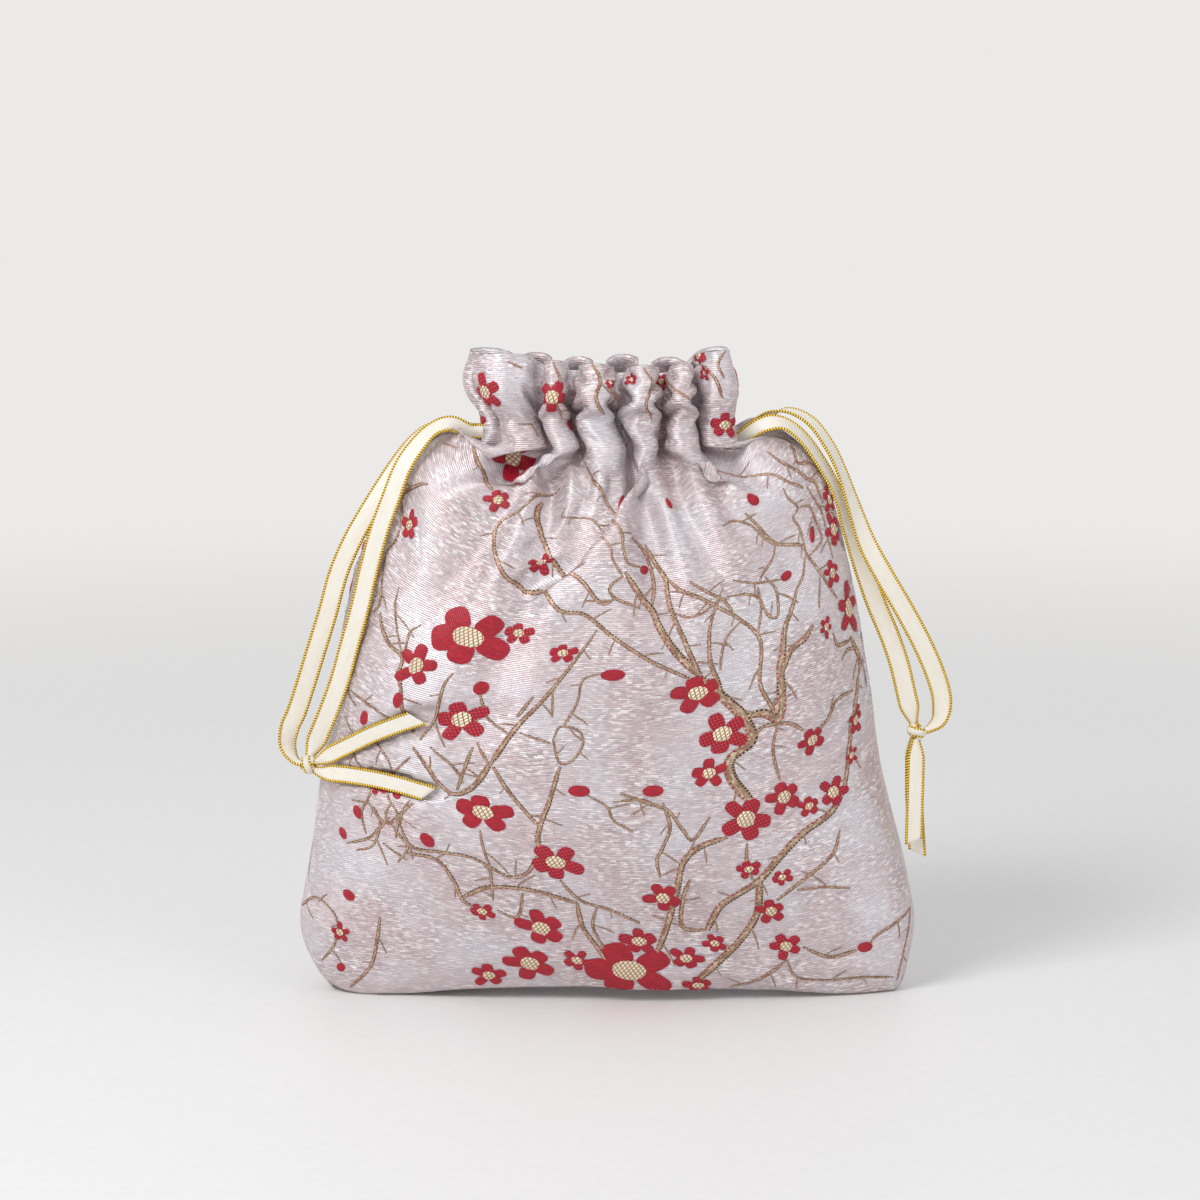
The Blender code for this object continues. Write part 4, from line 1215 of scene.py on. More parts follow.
# %% Branch lines on the photograph, each with its widths in millimetres
BRANCHES = [
    # Down the left side
    (
        (1.0,),
        [(428, 484), (413, 487), (403, 495), (402, 518), (397, 537), (385, 557), (380, 602), (373, 612)],
    ),
    (
        (1.3,),
        [(380, 613), (383, 630), (390, 645), (402, 657), (399, 673), (401, 690), (405, 713), (413, 733)],
    ),
    ((0.8,), [(421, 625), (410, 632), (406, 647), (402, 657)]),
    ((0.7,), [(399, 587), (395, 605), (397, 630), (402, 653)]),
    ((1.0,), [(453, 673), (443, 687), (437, 713), (420, 740)]),
    ((0.9,), [(350, 690), (380, 713), (400, 730)]),
    ((0.7,), [(390, 773), (410, 757)]),
    ((0.9,), [(430, 747), (453, 767), (463, 783)]),
    # From the neck's left end
    ((1.5,), [(473, 447), (478, 463), (485, 477), (492, 490)]),
    ((0.8,), [(447, 422), (457, 425), (472, 430), (480, 422), (475, 418)]),
    ((0.7,), [(497, 423), (518, 424), (532, 425), (538, 437)]),
    ((0.7,), [(430, 438), (443, 443), (457, 448)]),
    # The long curve from the gather down to the middle blossoms
    (
        (0.9, 1.6),
        [(560, 488), (542, 495), (522, 508), (500, 522), (494, 540), (497, 560), (507, 578), (525, 592)],
    ),
    (
        (1.6, 1.1),
        [(525, 592), (543, 592), (552, 603), (563, 612), (585, 615), (617, 640), (660, 666), (692, 680)],
    ),
    (
        (2.0, 1.0),
        [(542, 503), (537, 513), (540, 530), (553, 560), (577, 577), (597, 600), (605, 604), (615, 598)],
    ),
    ((1.0,), [(640, 608), (615, 598), (610, 587), (622, 577)]),
    ((0.7,), [(565, 508), (562, 517), (577, 518), (595, 522), (605, 540), (613, 560), (623, 577)]),
    ((1.2, 0.8), [(585, 462), (595, 483), (610, 508), (617, 525), (623, 548), (628, 563), (640, 567)]),
    ((1.8, 2.6), [(625, 572), (642, 598), (653, 612), (658, 625), (668, 642), (683, 660), (700, 675)]),
    ((1.2,), [(632, 537), (643, 550), (650, 567), (654, 587), (652, 605)]),
    ((1.5,), [(645, 545), (655, 563), (665, 578), (668, 597), (673, 615), (687, 647), (700, 675)]),
    ((0.8,), [(673, 612), (687, 617), (703, 613), (715, 603)]),
    # The crown to the right of the middle
    (
        (1.2,),
        [(667, 578), (680, 590), (700, 598), (717, 607), (738, 618), (760, 640), (760, 683), (775, 713)],
    ),
    ((1.0,), [(690, 582), (707, 592), (723, 600), (733, 612)]),
    (
        (0.8, 2.2),
        [(723, 588), (718, 600), (710, 627), (710, 660), (717, 680), (723, 697), (738, 708), (747, 718)],
    ),
    ((0.8,), [(740, 622), (727, 637), (722, 653), (720, 670)]),
    ((0.7,), [(733, 580), (755, 583), (782, 579)]),
    ((0.9,), [(765, 577), (775, 588), (778, 603), (777, 617), (768, 615), (760, 598), (758, 587)]),
    ((0.8,), [(727, 597), (743, 594), (757, 597), (761, 608), (758, 633)]),
    ((1.2, 3.0), [(797, 587), (792, 608), (785, 628), (783, 650), (780, 670), (782, 692), (775, 713)]),
    ((2.0,), [(813, 625), (805, 638), (793, 648), (787, 658), (782, 673)]),
    ((1.0,), [(805, 557), (803, 575), (797, 588)]),
    ((0.9,), [(775, 545), (773, 557), (762, 575), (760, 583)]),
    ((0.8,), [(723, 526), (733, 521), (750, 525), (763, 537), (775, 545)]),
    (
        (1.0,),
        [(745, 513), (755, 523), (775, 543), (800, 545), (807, 555), (817, 568), (825, 580), (837, 598)],
    ),
    ((0.9,), [(717, 470), (733, 475), (758, 475), (775, 475), (788, 482), (803, 488)]),
    ((1.0,), [(745, 437), (767, 452), (783, 463), (805, 477), (815, 483), (823, 503)]),
    ((0.7,), [(783, 488), (788, 498), (798, 508), (793, 517), (800, 530), (805, 547)]),
    ((0.8,), [(800, 507), (810, 507), (815, 520), (822, 537), (817, 547), (810, 555)]),
    ((0.7,), [(807, 487), (813, 497), (822, 513), (828, 538), (833, 558)]),
    ((1.0,), [(773, 427), (788, 432), (790, 443), (797, 462), (810, 463), (822, 475), (828, 488)]),
    ((0.8,), [(820, 577), (819, 608)]),
    # Down the right side
    (
        (2.2, 1.6),
        [(850, 637), (855, 647), (860, 667), (857, 690), (855, 708), (850, 740), (847, 770), (843, 793)],
    ),
    ((1.4,), [(833, 633), (838, 645), (850, 640)]),
    ((1.3,), [(842, 660), (847, 650), (855, 648)]),
    ((1.3,), [(813, 735), (827, 720), (837, 700), (853, 690)]),
    # The thick fork beside the three blossoms
    ((3.0, 3.6), [(700, 677), (723, 697), (743, 717), (752, 740), (730, 760), (733, 780), (750, 800)]),
    ((2.8,), [(743, 717), (763, 713), (780, 717), (780, 680)]),
    ((1.2,), [(753, 740), (763, 727), (787, 723), (803, 730)]),
    ((1.0,), [(778, 723), (773, 750), (780, 780)]),
    # The lower right sweep
    (
        (2.6, 2.2),
        [(843, 793), (830, 813), (803, 833), (780, 857), (760, 880), (740, 893), (720, 907), (707, 930)],
    ),
    ((1.6, 1.2), [(707, 930), (683, 927), (683, 900), (690, 880)]),
    ((2.4,), [(760, 880), (757, 913), (740, 940), (717, 963), (697, 980)]),
    ((1.2,), [(840, 830), (833, 853), (803, 880), (777, 900)]),
    ((0.9,), [(850, 888), (823, 887), (797, 890)]),
    ((2.0,), [(727, 837), (700, 847), (683, 863), (677, 890), (667, 927), (657, 953)]),
    ((1.2,), [(747, 843), (747, 867), (753, 880)]),
    ((1.1,), [(710, 817), (693, 840), (683, 830), (667, 810), (647, 803), (620, 793)]),
    ((0.8,), [(613, 802), (643, 800), (663, 810)]),
    ((0.8,), [(587, 795), (607, 807), (613, 820), (633, 832)]),
    ((1.1,), [(663, 803), (670, 827), (663, 847), (657, 860), (660, 877)]),
    # The middle twig and what grows from it
    ((0.8, 1.9), [(597, 630), (570, 667), (543, 700), (517, 727), (493, 760)]),
    ((1.9, 1.0), [(493, 760), (473, 787), (450, 793), (427, 767), (413, 747)]),
    ((1.2,), [(533, 697), (517, 717)]),
    ((1.3,), [(493, 767), (510, 793), (530, 817), (540, 827)]),
    ((1.3, 1.8), [(560, 767), (550, 800), (540, 827), (538, 843), (546, 860)]),
    ((0.8,), [(553, 740), (560, 727), (577, 730), (583, 743), (573, 760), (560, 763), (553, 740)]),
    ((0.9,), [(520, 733), (550, 743)]),
    ((0.8,), [(603, 673), (583, 680), (577, 703), (563, 727)]),
    ((0.7,), [(553, 690), (552, 717)]),
    ((0.9,), [(480, 693), (487, 717), (507, 733)]),
    ((1.0,), [(473, 747), (463, 773), (457, 790)]),
    ((0.9,), [(477, 743), (490, 767)]),
    # The lower left
    ((1.4,), [(407, 853), (437, 860), (453, 880), (463, 900), (480, 910)]),
    (
        (1.2,),
        [(390, 823), (413, 847), (440, 852), (470, 857), (490, 867), (510, 877), (527, 873), (537, 857)],
    ),
    ((0.9,), [(480, 830), (483, 847), (490, 870), (493, 900)]),
    ((1.6,), [(463, 897), (490, 887), (530, 890), (557, 897), (577, 903)]),
    ((1.2,), [(560, 880), (580, 900), (610, 910), (640, 923)]),
    ((1.6,), [(577, 903), (583, 927), (597, 947), (610, 967)]),
    ((1.0,), [(597, 907), (593, 927), (607, 953)]),
    ((1.0,), [(497, 910), (517, 917), (523, 893)]),
    ((1.2,), [(380, 917), (377, 940), (370, 967), (350, 987)]),
    ((0.9,), [(302, 905), (314, 897), (330, 908), (338, 925), (334, 945), (322, 960)]),
    ((1.0,), [(367, 800), (387, 823), (413, 803)]),
    ((0.9,), [(347, 843), (370, 837), (390, 817)]),
    ((1.0,), [(383, 843), (407, 860)]),
    ((0.8,), [(338, 742), (352, 752), (366, 770), (372, 790), (362, 812), (366, 834)]),
    ((0.8,), [(345, 716), (358, 735), (380, 748), (392, 770), (388, 795), (398, 815), (396, 838)]),
    ((0.7,), [(352, 800), (372, 806), (380, 826), (372, 846), (356, 850)]),
    ((0.7,), [(410, 800), (400, 822), (408, 846), (398, 862)]),
    ((0.8,), [(370, 610), (362, 640), (352, 664), (348, 690), (356, 706)]),
    # The lower right corner
    ((1.1,), [(917, 877), (910, 907), (880, 933), (870, 943)]),
    ((0.9,), [(910, 907), (920, 920), (913, 953), (897, 980)]),
    ((1.4,), [(803, 947), (830, 957), (857, 950)]),
    ((1.0,), [(787, 960), (797, 977), (830, 980), (863, 977), (893, 977)]),
    ((1.2,), [(787, 960), (763, 977), (730, 987)]),
    # On the frill
    ((1.1,), [(488, 346), (478, 356), (470, 372), (476, 392)]),
    ((0.9,), [(500, 350), (508, 362), (522, 368)]),
    ((1.0,), [(553, 362), (560, 380), (556, 402), (562, 420)]),
    ((1.2,), [(592, 364), (600, 380), (596, 398), (604, 414)]),
    ((0.9,), [(618, 372), (611, 388), (618, 402)]),
    ((1.0,), [(644, 368), (652, 386), (646, 404), (652, 420)]),
    ((0.9,), [(668, 372), (676, 390), (690, 400)]),
    ((1.2,), [(694, 352), (705, 366), (716, 380), (722, 398)]),
    ((0.9,), [(726, 350), (718, 364), (724, 378)]),
]

# %% Branches and their side twigs
BRANCH_STEP = 0.75
BRANCH_FULLNESS = 0.9
TWIG_WIDTHS = (0.75, 0.5)


def woven_branch(places, widths, behind):
    """Points, faces and UVs of one branch: a strip three points wide, with rounded edges."""
    share = np.linspace(0.0, 1.0, len(places))
    wide = np.interp(share, np.linspace(0.0, 1.0, len(widths)), widths)
    line = smooth_route([(x, rise, 0.0, w, 0.0, 0.0) for (x, rise), w in zip(places, wide)], BRANCH_STEP)
    middle, wide = line[:, :2], line[:, 3] * BRANCH_FULLNESS
    walked, ahead = along_path(middle)
    fine = smoothstep(0.0, 4.0, walked) * 0.45 + smoothstep(0.0, 3.0, walked[-1] - walked) * 0.3 + 0.25
    beside = np.stack([-ahead[:, 1], ahead[:, 0]], axis=1)
    rows = []
    for across, lift in ((-1.0, 0.10), (0.0, 0.24), (1.0, 0.10)):
        flat = middle + beside * (0.5 * across * wide * fine)[:, None]
        rows.append(on_cloth(behind, flat[:, 0], flat[:, 1], np.full(len(flat), lift)))
    points = np.stack(rows, axis=1).reshape(-1, 3)
    faces, uv = [], []
    for step in range(len(middle) - 1):
        for lane in range(2):
            first, second = 3 * step + lane, 3 * (step + 1) + lane
            faces.append([second, second + 1, first + 1, first])
            near, far = walked[step] * MM, walked[step + 1] * MM
            uv.append([(far, lane - 1), (far, lane), (near, lane), (near, lane - 1)])
    return points, faces, uv


def side_twigs(places, number):
    """Short twigs that leave a long branch on alternate sides, on the flat cloth."""
    line = np.array(places)
    walked, ahead = along_path(line)
    twigs = []
    for count, reach in enumerate(np.arange(7.0, walked[-1] - 4.0, 9.5)):
        here = np.array([np.interp(reach, walked, line[:, 0]), np.interp(reach, walked, line[:, 1])])
        way = np.array([np.interp(reach, walked, ahead[:, 0]), np.interp(reach, walked, ahead[:, 1])])
        side = 1 if (count + number) % 2 else -1
        beside = side * np.array([-way[1], way[0]])
        length = 3.4 + 1.3 * ((3 * count + number) % 4)
        bend = 0.35 if (count + 2 * number) % 3 else 1.0
        twigs.append(
            [
                tuple(here + length * (share * bend * way + share**0.8 * 0.75 * beside))
                for share in (0.0, 0.45, 1.0)
            ]
        )
    return twigs


# %% Blossoms and buds on the photograph
BLOSSOMS = [  # middle and width in pixels, how tall it is for its width, turn in degrees
    (485, 392, 35, 1.0, 10), (552, 397, 35, 1.0, 40), (725, 425, 32, 0.8, 0), (472, 437, 30, 0.8, 20),
    (513, 455, 50, 0.9, 30), (518, 480, 26, 1.0, 0), (498, 500, 28, 1.0, 50), (541, 562, 28, 1.0, 15),
    (410, 525, 24, 1.0, 30), (468, 637, 78, 0.72, 38), (519, 633, 29, 0.8, 10), (416, 666, 36, 1.25, 0),
    (461, 719, 44, 1.05, 20), (563, 653, 26, 0.8, 5), (698, 693, 48, 0.85, 12), (722, 734, 48, 0.92, 30),
    (709, 773, 33, 0.9, 5), (746, 819, 48, 1.0, 45), (784, 797, 36, 1.0, 15), (812, 740, 30, 1.0, 30),
    (833, 792, 33, 1.0, 50), (809, 806, 24, 0.9, 0), (855, 720, 22, 1.4, 0), (851, 755, 16, 1.3, 20),
    (829, 500, 18, 1.3, 0), (833, 530, 24, 1.2, 30), (832, 573, 22, 1.2, 10), (848, 608, 34, 1.5, 0),
    (826, 627, 16, 1.3, 40), (483, 812, 50, 0.82, 0), (556, 862, 48, 0.8, 36), (541, 928, 45, 0.98, 10),
    (482, 911, 25, 0.78, 30), (489, 975, 33, 0.98, 0), (530, 963, 48, 0.98, 20), (577, 960, 28, 0.91, 40),
    (629, 970, 85, 0.78, 15), (639, 941, 38, 0.78, 0), (663, 898, 35, 1.0, 25), (686, 958, 33, 0.85, 50),
    (698, 985, 30, 0.78, 0), (715, 943, 24, 0.91, 20), (749, 869, 25, 0.8, 10), (782, 877, 22, 0.8, 30),
    (771, 911, 30, 1.0, 0), (786, 946, 32, 1.0, 15), (340, 932, 21, 1.0, 0), (378, 787, 18, 1.0, 20),
    (336, 773, 16, 1.0, 40), (632, 380, 18, 1.0, 0), (661, 382, 20, 1.0, 30), (699, 356, 24, 0.8, 20),
    (705, 373, 16, 1.0, 0), (610, 383, 12, 1.0, 15),
]
BUDS = [  # middle, width and height in pixels
    (481, 688, 13, 15), (613, 675, 21, 12), (398, 700, 9, 15), (364, 718, 8, 14), (753, 499, 13, 16),
    (786, 576, 13, 9), (669, 503, 6, 16), (621, 502, 6, 15), (644, 570, 8, 9), (579, 791, 18, 12),
    (653, 791, 18, 12), (865, 947, 15, 12), (349, 895, 12, 12), (341, 967, 9, 10), (358, 812, 9, 13),
    (343, 833, 8, 12), (427, 840, 12, 15), (397, 793, 8, 14), (812, 535, 6, 14), (569, 425, 9, 13),
]
PIXELS_PER_MM = 3.25
SMOOTH, BASKET, CENTRE = 0, 1, 2

# %% Discs of satin stitches, and blossoms made of them
def woven_disc(middle, half_along, half_across, turn, lift, behind, sides=16, corners=1.0):
    """Points, faces and UVs of one oval of satin stitches, a little raised in its middle."""
    angle = np.linspace(0, 2 * np.pi, sides, endpoint=False)
    outward = np.sign(np.cos(angle)) * np.abs(np.cos(angle)) ** corners
    sideways = np.sign(np.sin(angle)) * np.abs(np.sin(angle)) ** corners
    along = np.concatenate([[0.0]] + [reach * outward for reach in (0.55, 1.0)]) * half_along
    across = np.concatenate([[0.0]] + [reach * sideways for reach in (0.55, 1.0)]) * half_across
    flat_x = middle[0] + along * math.cos(turn) - across * math.sin(turn)
    rise = middle[1] + along * math.sin(turn) + across * math.cos(turn)
    raised = np.concatenate([[0.26], np.full(sides, 0.2), np.zeros(sides)]) + lift
    points = on_cloth(behind, flat_x, rise, raised)
    faces = []
    for side in range(sides):
        beside = (side + 1) % sides
        faces.append([0, 1 + side, 1 + beside])
        faces.append([1 + side, 1 + sides + side, 1 + sides + beside, 1 + beside])
    uv = [[(flat_x[corner] * MM, rise[corner] * MM) for corner in face] for face in faces]
    return points, faces, uv


PETAL_CORNERS = 0.72
PETAL_SHAPES = [  # how long and how wide each petal is for its blossom, and its turn in degrees
    (1.02, 1.0, 0), (0.9, 1.1, 5), (1.08, 0.9, -5), (0.94, 1.06, 4),
    (1.06, 0.86, -3), (0.86, 1.0, 6), (1.0, 0.94, -6),
]


def woven_blossom(place, width, tall, turn, kind, behind):
    """Five uneven petals round a cream middle."""
    radius = 0.5 * width
    parts = []
    for petal in range(5):
        longer, wider, lean = PETAL_SHAPES[int(place[0] + 100 + 3 * petal) % len(PETAL_SHAPES)]
        angle = math.radians(turn + 72 * petal + 18 + lean)
        reach = 0.6 * radius * longer
        middle = (place[0] + reach * math.cos(angle), place[1] + reach * tall * math.sin(angle))
        size = radius * (1 + (tall - 1) * abs(math.sin(angle)))
        half_long, half_wide = 0.39 * size * longer, 0.31 * radius * wider
        lift = 0.14 + 0.03 * petal
        disc = woven_disc(middle, half_long, half_wide, angle, lift, behind, corners=PETAL_CORNERS)
        parts.append((kind, disc))
    parts.append((CENTRE, woven_disc(place, 0.36 * radius, 0.36 * radius * tall, 0.0, 0.34, behind)))
    return parts


# %% Lay the pattern on the front and the back
branch_lines = [(on_flat_cloth(pixels), widths) for widths, pixels in BRANCHES]
branch_parts = []
blossom_parts = []
bud_parts = []
for behind in (False, True):
    for number, (places, widths) in enumerate(branch_lines):
        if len(places) > 1:
            branch_parts.append((0, woven_branch(places, widths, behind)))
            for twig in side_twigs(places, number):
                branch_parts.append((0, woven_branch(twig, TWIG_WIDTHS, behind)))
    for number, (x, y, width, tall, turn) in enumerate(BLOSSOMS):
        for place in on_flat_cloth([(x, y)]):
            kind = BASKET if number % 5 in (0, 2) else SMOOTH
            blossom_parts += woven_blossom(place, width / PIXELS_PER_MM, tall, turn, kind, behind)
    for x, y, width, height in BUDS:
        for place in on_flat_cloth([(x, y)]):
            wide, high = 0.5 * width / PIXELS_PER_MM, 0.5 * height / PIXELS_PER_MM
            bud_parts.append((SMOOTH, woven_disc(place, wide, high, 0.0, 0.2, behind)))

# %% Make the pattern's pieces
def pattern_piece(name, parts, materials):
    """All the branches, blossoms or buds as one piece."""
    points, faces, uv, lots = joined(parts)
    piece = mesh_piece(name, points, faces, uv, lots, materials)
    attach(piece, "root")
    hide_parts("brocade_bag")
    print(name, len(faces), "faces")
    return piece


woven_branches = pattern_piece("woven_branches", branch_parts, [BRANCH])
woven_blossoms = pattern_piece("woven_blossoms", blossom_parts, [SMOOTH_CRIMSON, BASKET_CRIMSON, MIDDLE])
woven_buds = pattern_piece("woven_buds", bud_parts, [SMOOTH_CRIMSON])

# %% [markdown]
# ## The ribbons
#
# A satin ribbon is woven flat, with a gold thread twisted along each edge. Each strand is a thin strip
# that follows its route and turns with it. It is bunched narrow where it leaves the casing and where it
# runs into its knot. The gold edges are made as threads of their own, with a bead for each twist.

# %% Ribbon strip with its two gold edges
RIBBON_THICKNESS = 0.3
BUNCHED_WIDTH = 3.8
BEAD_SPACING = 0.85
BEAD_RADIUS = 0.44
THREAD_SIDES = 6
CUT_REACH = 9.0


def strip_sections(path, widths, cupping, cut=0.0):
    """How the strip lies across its path at each place; its far end is cut off at a slant."""
    points, looks = path[:, :3], path[:, 3:]
    walked, ahead = along_path(points)
    looks = looks - ahead * (looks * ahead).sum(1)[:, None]
    looks /= np.linalg.norm(looks, axis=1)[:, None]
    across = np.cross(looks, ahead)
    shares = np.linspace(-1.0, 1.0, 9)
    flat = points[:, None] + 0.5 * widths[:, None, None] * shares[None, :, None] * across[:, None]
    bowed = flat - cupping[:, None, None] * (shares**2)[None, :, None] * looks[:, None]
    slant = cut * np.clip(1 - (walked[-1] - walked) / CUT_REACH, 0, 1) ** 2
    bowed = bowed - ahead[:, None] * slant[:, None, None] * 0.5 * (1 + shares)[None, :, None]
    return walked, bowed, looks


def ribbon_strip(path, widths, cupping, cut=0.0):
    """Points, faces and UVs of a thin closed strip along a path."""
    walked, front, looks = strip_sections(path, widths, cupping, cut)
    lift = 0.5 * RIBBON_THICKNESS * looks[:, None]
    ring = np.concatenate([front + lift, (front - lift)[:, ::-1]], axis=1)
    count, sides = ring.shape[:2]
    shares = np.concatenate([np.linspace(-1, 1, 9), np.linspace(1, -1, 9)])
    faces, uv = [], []
    for row in range(count - 1):
        for side in range(sides):
            beside = (side + 1) % sides
            here, there = row * sides, (row + 1) * sides
            faces.append([here + side, there + side, there + beside, here + beside])
            uv.append(
                [
                    (walked[row] * MM, shares[side]), (walked[row + 1] * MM, shares[side]),
                    (walked[row + 1] * MM, shares[beside]), (walked[row] * MM, shares[beside]),
                ]
            )
    for row, order in ((0, 1), (count - 1, -1)):
        faces.append([row * sides + side for side in range(sides)][::order])
        uv.append([(walked[row] * MM, share) for share in shares][::order])
    return ring.reshape(-1, 3), faces, uv

# %% Gold threads along the edges
def twisted_thread(line, looks):
    """Points, faces and UVs of a round thread that swells and narrows with each twist."""
    walked, _ = along_path(line)
    steps = max(8, int(walked[-1] / BEAD_SPACING * 4))
    at = np.linspace(0, walked[-1], steps + 1)
    middle = np.stack([np.interp(at, walked, line[:, axis]) for axis in range(3)], axis=1)
    look = np.stack([np.interp(at, walked, looks[:, axis]) for axis in range(3)], axis=1)
    _, ahead = along_path(middle)
    beside = np.cross(ahead, look)
    beside /= np.linalg.norm(beside, axis=1)[:, None]
    outward = np.cross(beside, ahead)
    swell = BEAD_RADIUS * (0.72 + 0.38 * np.abs(np.sin(np.pi * at / BEAD_SPACING)))
    turn = np.linspace(0, 2 * np.pi, THREAD_SIDES, endpoint=False)
    ring = middle[:, None] + swell[:, None, None] * (
        np.cos(turn)[None, :, None] * beside[:, None] + np.sin(turn)[None, :, None] * outward[:, None]
    )
    faces, uv = [], []
    for row in range(steps):
        for side in range(THREAD_SIDES):
            following = (side + 1) % THREAD_SIDES
            here, there = row * THREAD_SIDES, (row + 1) * THREAD_SIDES
            faces.append([here + side, here + following, there + following, there + side])
            low, high = at[row] * MM, at[row + 1] * MM
            first, second = side / THREAD_SIDES, (side + 1) / THREAD_SIDES
            uv.append([(low, first), (low, second), (high, second), (high, first)])
    for row, order in ((0, -1), (steps, 1)):
        faces.append([row * THREAD_SIDES + side for side in range(THREAD_SIDES)][::order])
        uv.append([(at[row] * MM, side / THREAD_SIDES) for side in range(THREAD_SIDES)][::order])
    return ring.reshape(-1, 3), faces, uv


def edged_strip(path, widths, cupping, cut=0.0):
    """The parts of a ribbon strip with a gold thread along each edge."""
    _, front, looks = strip_sections(path, widths, cupping, cut)
    parts = [(0, ribbon_strip(path, widths, cupping, cut))]
    for edge in (0, -1):
        parts.append((1, twisted_thread(front[:, edge], looks)))
    return parts


def ribbon_piece(name, parts, side):
    """Ribbon strips as one piece that stands for the solid ribbon of its side."""
    points, faces, uv, lots = joined(parts)
    piece = mesh_piece(name, points, faces, uv, lots, [SATIN, GOLD])
    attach(piece, "root")
    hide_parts("left_ribbon" if side == LEFT else "right_ribbon")
    return piece


# %% [markdown]
# ## The knots
#
# Both strands of a ribbon run into one small overhand knot. It is made of three turns of the same ribbon,
# pulled tight round the strands and bunched narrow: two cross each other at a slant, and the last one
# goes nearly straight round over them.

# %% Two knots
KNOT_RADII = (2.3, 1.8)
KNOT_BAND = 2.5
KNOT_START = 0.35 * math.pi
KNOT_TURNS = [  # tilt, how much wider than the first, turns, share of the band's width, drift along the knot
    (0.8, 0.0, 1.05, 0.9, 1.9),
    (-0.6, 0.2, 1.05, 0.9, 1.7),
    (0.08, 0.5, 1.1, 0.85, 0.7),
]


def knot_turn(middle, axis, tilt, radii, turns, drift):
    """A path once round a knot, a little wider as it goes, that looks outwards all the way."""
    axis = np.array(axis) / np.linalg.norm(axis)
    across = np.cross(axis, (0.0, 1.0, 0.0))
    across /= np.linalg.norm(across)
    depth = np.cross(across, axis)
    leaning = math.cos(tilt) * across + math.sin(tilt) * axis
    stops = []
    for turn in np.linspace(KNOT_START, KNOT_START + 2 * turns * math.pi, 26):
        share = (turn - KNOT_START) / (2 * turns * math.pi)
        out = math.cos(turn) * leaning + math.sin(turn) * depth
        place = math.cos(turn) * radii[0] * leaning + math.sin(turn) * radii[1] * depth
        place = place * (1 + 0.16 * share) + axis * drift * (share - 0.5)
        stops.append((*(np.array(middle) + place), *out))
    return smooth_route(stops, 0.6)


def knot_piece(name, middle, axis, side):
    """One knot: two slanted turns and a straight one over them."""
    parts = []
    for tilt, grow, turns, band, drift in KNOT_TURNS:
        path = knot_turn(middle, axis, tilt, (KNOT_RADII[0] + grow, KNOT_RADII[1] + grow), turns, drift)
        parts += edged_strip(path, np.full(len(path), KNOT_BAND * band), np.full(len(path), 0.75))
    return ribbon_piece(name, parts, side)


left_knot = knot_piece("left_knot", LEFT_KNOT, (1.0, -0.15, 0.42), LEFT)
right_knot = knot_piece("right_knot", RIGHT_KNOT, (-0.12, 0.0, -1.0), RIGHT)
print("knots", left_knot.name, right_knot.name)

# %% The four strands
STEP = 1.0
TAIL_CUTS = {
    "left_ribbon_front": 4.5,
    "left_ribbon_back": -4.0,
    "right_ribbon_front": 2.0,
    "right_ribbon_back": -2.5,
}
TAIL_NARROWER = 0.16


def strand_widths(path, side, knot):
    """Bunched at the slit, pinched at the knot, full between them, and a little narrower in the tail."""
    out = side * path[:, 0] - (NECK_HALF_WIDTH + 4.0)
    from_knot = np.linalg.norm(path[:, :3] - np.array(knot), axis=1)
    full = RIBBON_WIDTH - 2 * BEAD_RADIUS
    widths = BUNCHED_WIDTH + (full - BUNCHED_WIDTH) * smoothstep(0.0, 10.0, out)
    in_tail = np.arange(len(path)) > np.argmin(from_knot)
    widths *= 1 - TAIL_NARROWER * in_tail
    widths *= 0.3 + 0.7 * smoothstep(1.0, 9.0, from_knot)
    cupping = 0.9 * (1 - smoothstep(2.0, 10.0, from_knot)) + 0.5 * (1 - smoothstep(0.0, 9.0, out))
    return widths, cupping


for name, (side, stops) in STRANDS.items():
    path = smooth_route(stops, STEP)
    knot = LEFT_KNOT if side == LEFT else RIGHT_KNOT
    widths, cupping = strand_widths(path, side, knot)
    strand = ribbon_piece(name, edged_strip(path, widths, cupping, TAIL_CUTS[name]), side)

# %% [markdown]
# ## The stage
#
# A wide pale floor, a soft key light from the upper left, a broad weak fill from the right, and an even
# world light. Away from the bag the floor and the world show one even pale colour, so that the
# background is the same from every side. That colour only shows, and lights nothing.

# %% Pale floor
BACKGROUND = "ECEAE8"
FLOOR_SIZE = 14.0
EVEN_FROM, EVEN_TO = 0.3, 1.1


def only_shown(tree):
    """1 for the rays that show a surface or mirror it, and 0 for the rays that light other things."""
    path = add_node(tree, "LightPath").outputs
    mirrored = sum_of(tree, "MAXIMUM", path["Is Glossy Ray"], path["Is Transmission Ray"])
    return sum_of(tree, "MAXIMUM", path["Is Camera Ray"], mirrored)

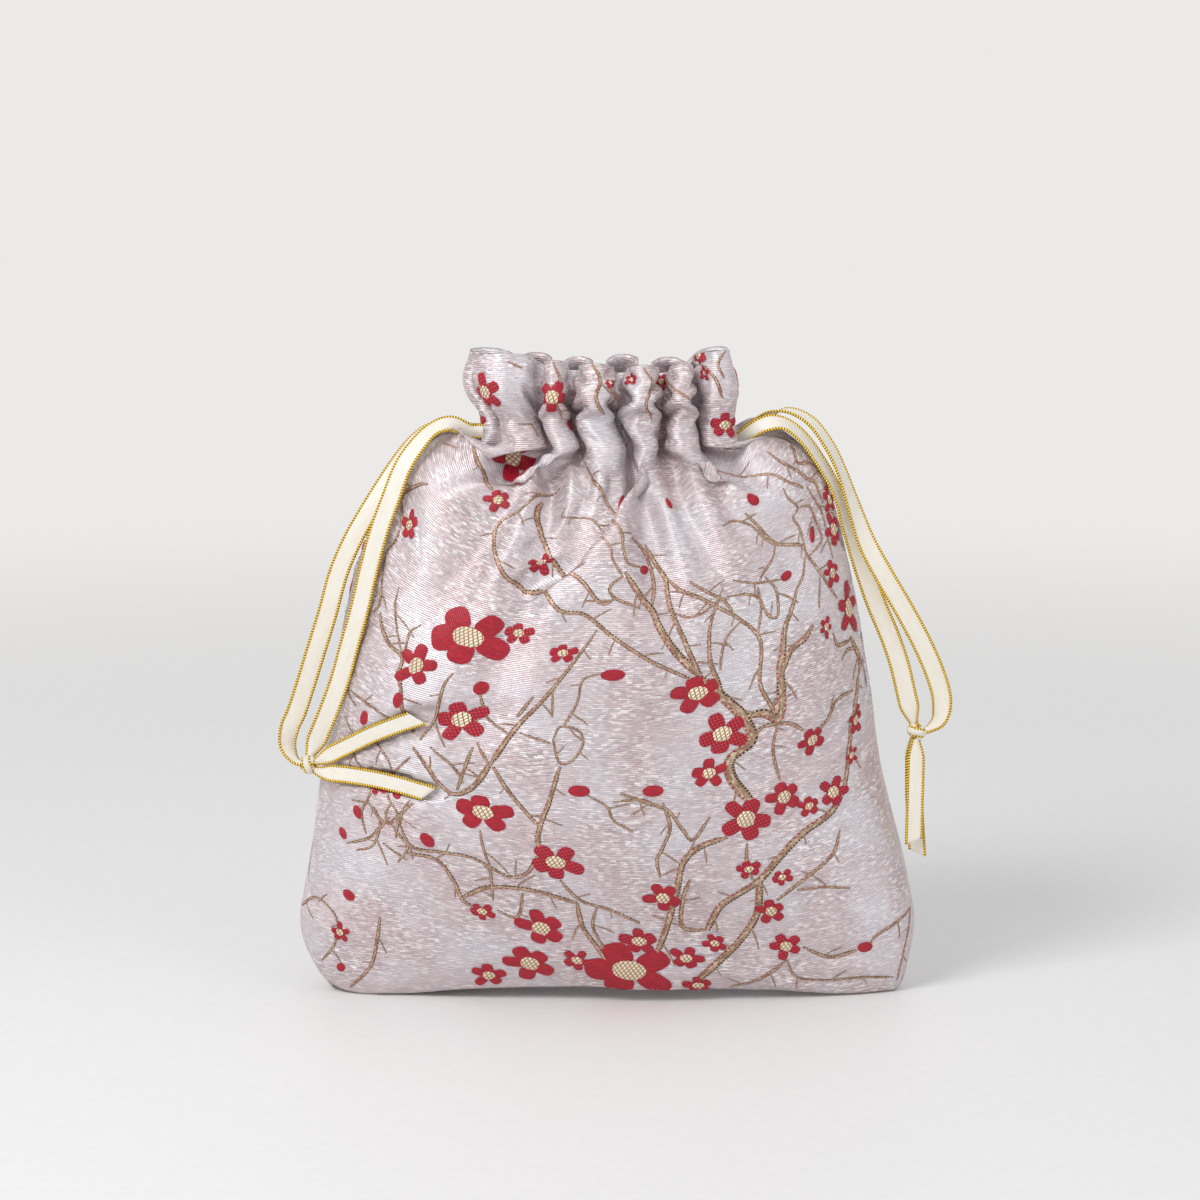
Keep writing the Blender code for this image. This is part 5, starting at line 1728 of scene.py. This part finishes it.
# %% Make the floor
def floor_material():
    material, tree, shader = new_material("matt_pale_table", 0.5, 0.0)
    place = add_node(tree, "TexCoord").outputs["Object"]
    grain = add_node(tree, "TexNoise", {"Vector": place, "Scale": 260.0, "Detail": 2.0}).outputs["Fac"]
    colour = ramp(tree, grain, [(0.3, "EFEEED"), (0.7, "F2F1F0")])
    tree.links.new(colour, shader.inputs["Base Color"])
    distance = add_node(tree, "VectorMath", {0: place}, operation="LENGTH").outputs["Value"]
    far = add_node(tree, "MapRange", {"Value": distance, "From Min": EVEN_FROM, "From Max": EVEN_TO})
    far.interpolation_type = "SMOOTHSTEP"
    even = add_node(tree, "Emission", {"Color": linear(BACKGROUND), "Strength": 1.0})
    share = sum_of(tree, "MULTIPLY", far.outputs["Result"], only_shown(tree))
    both = add_node(tree, "MixShader", {0: share})
    tree.links.new(shader.outputs[0], both.inputs[1])
    tree.links.new(even.outputs[0], both.inputs[2])
    tree.links.new(both.outputs[0], tree.nodes["Material Output"].inputs["Surface"])
    return material


clear_selection()
bpy.ops.mesh.primitive_plane_add(size=FLOOR_SIZE)
floor = bpy.context.object
floor.name = "pale_floor"
floor.data.materials.append(floor_material())
clear_selection()
print("floor", floor.name)


# %% Lights and world
def soft_light(name, place, target, size, power):
    bpy.ops.object.light_add(type="AREA", location=place)
    lamp = bpy.context.object
    lamp.name = name
    lamp.data.size = size
    lamp.data.energy = power
    lamp.rotation_euler = (Vector(target) - Vector(place)).to_track_quat("-Z", "Y").to_euler()
    clear_selection()
    return lamp


soft_light("key", (-0.75, -0.85, 1.05), (0.0, 0.0, 0.1), 0.6, 11.5)
soft_light("fill", (1.1, -1.0, 0.6), (0.0, 0.0, 0.1), 1.0, 3.2)
soft_light("top", (0.1, 0.1, 1.4), (0.0, 0.0, 0.1), 0.8, 2.6)

# %% World light and the even background
world = bpy.data.worlds.new("pale_room")
world.use_nodes = True
bpy.context.scene.world = world
room = world.node_tree
lighting = room.nodes["Background"]
lighting.inputs["Color"].default_value = linear("F4F6FA")
lighting.inputs["Strength"].default_value = 0.5
shown = add_node(room, "Background", {"Color": linear(BACKGROUND), "Strength": 1.0})
either = add_node(room, "MixShader", {0: only_shown(room)})
room.links.new(lighting.outputs[0], either.inputs[1])
room.links.new(shown.outputs[0], either.inputs[2])
room.links.new(either.outputs[0], room.nodes["World Output"].inputs["Surface"])
bpy.context.scene.view_settings.view_transform = "Standard"
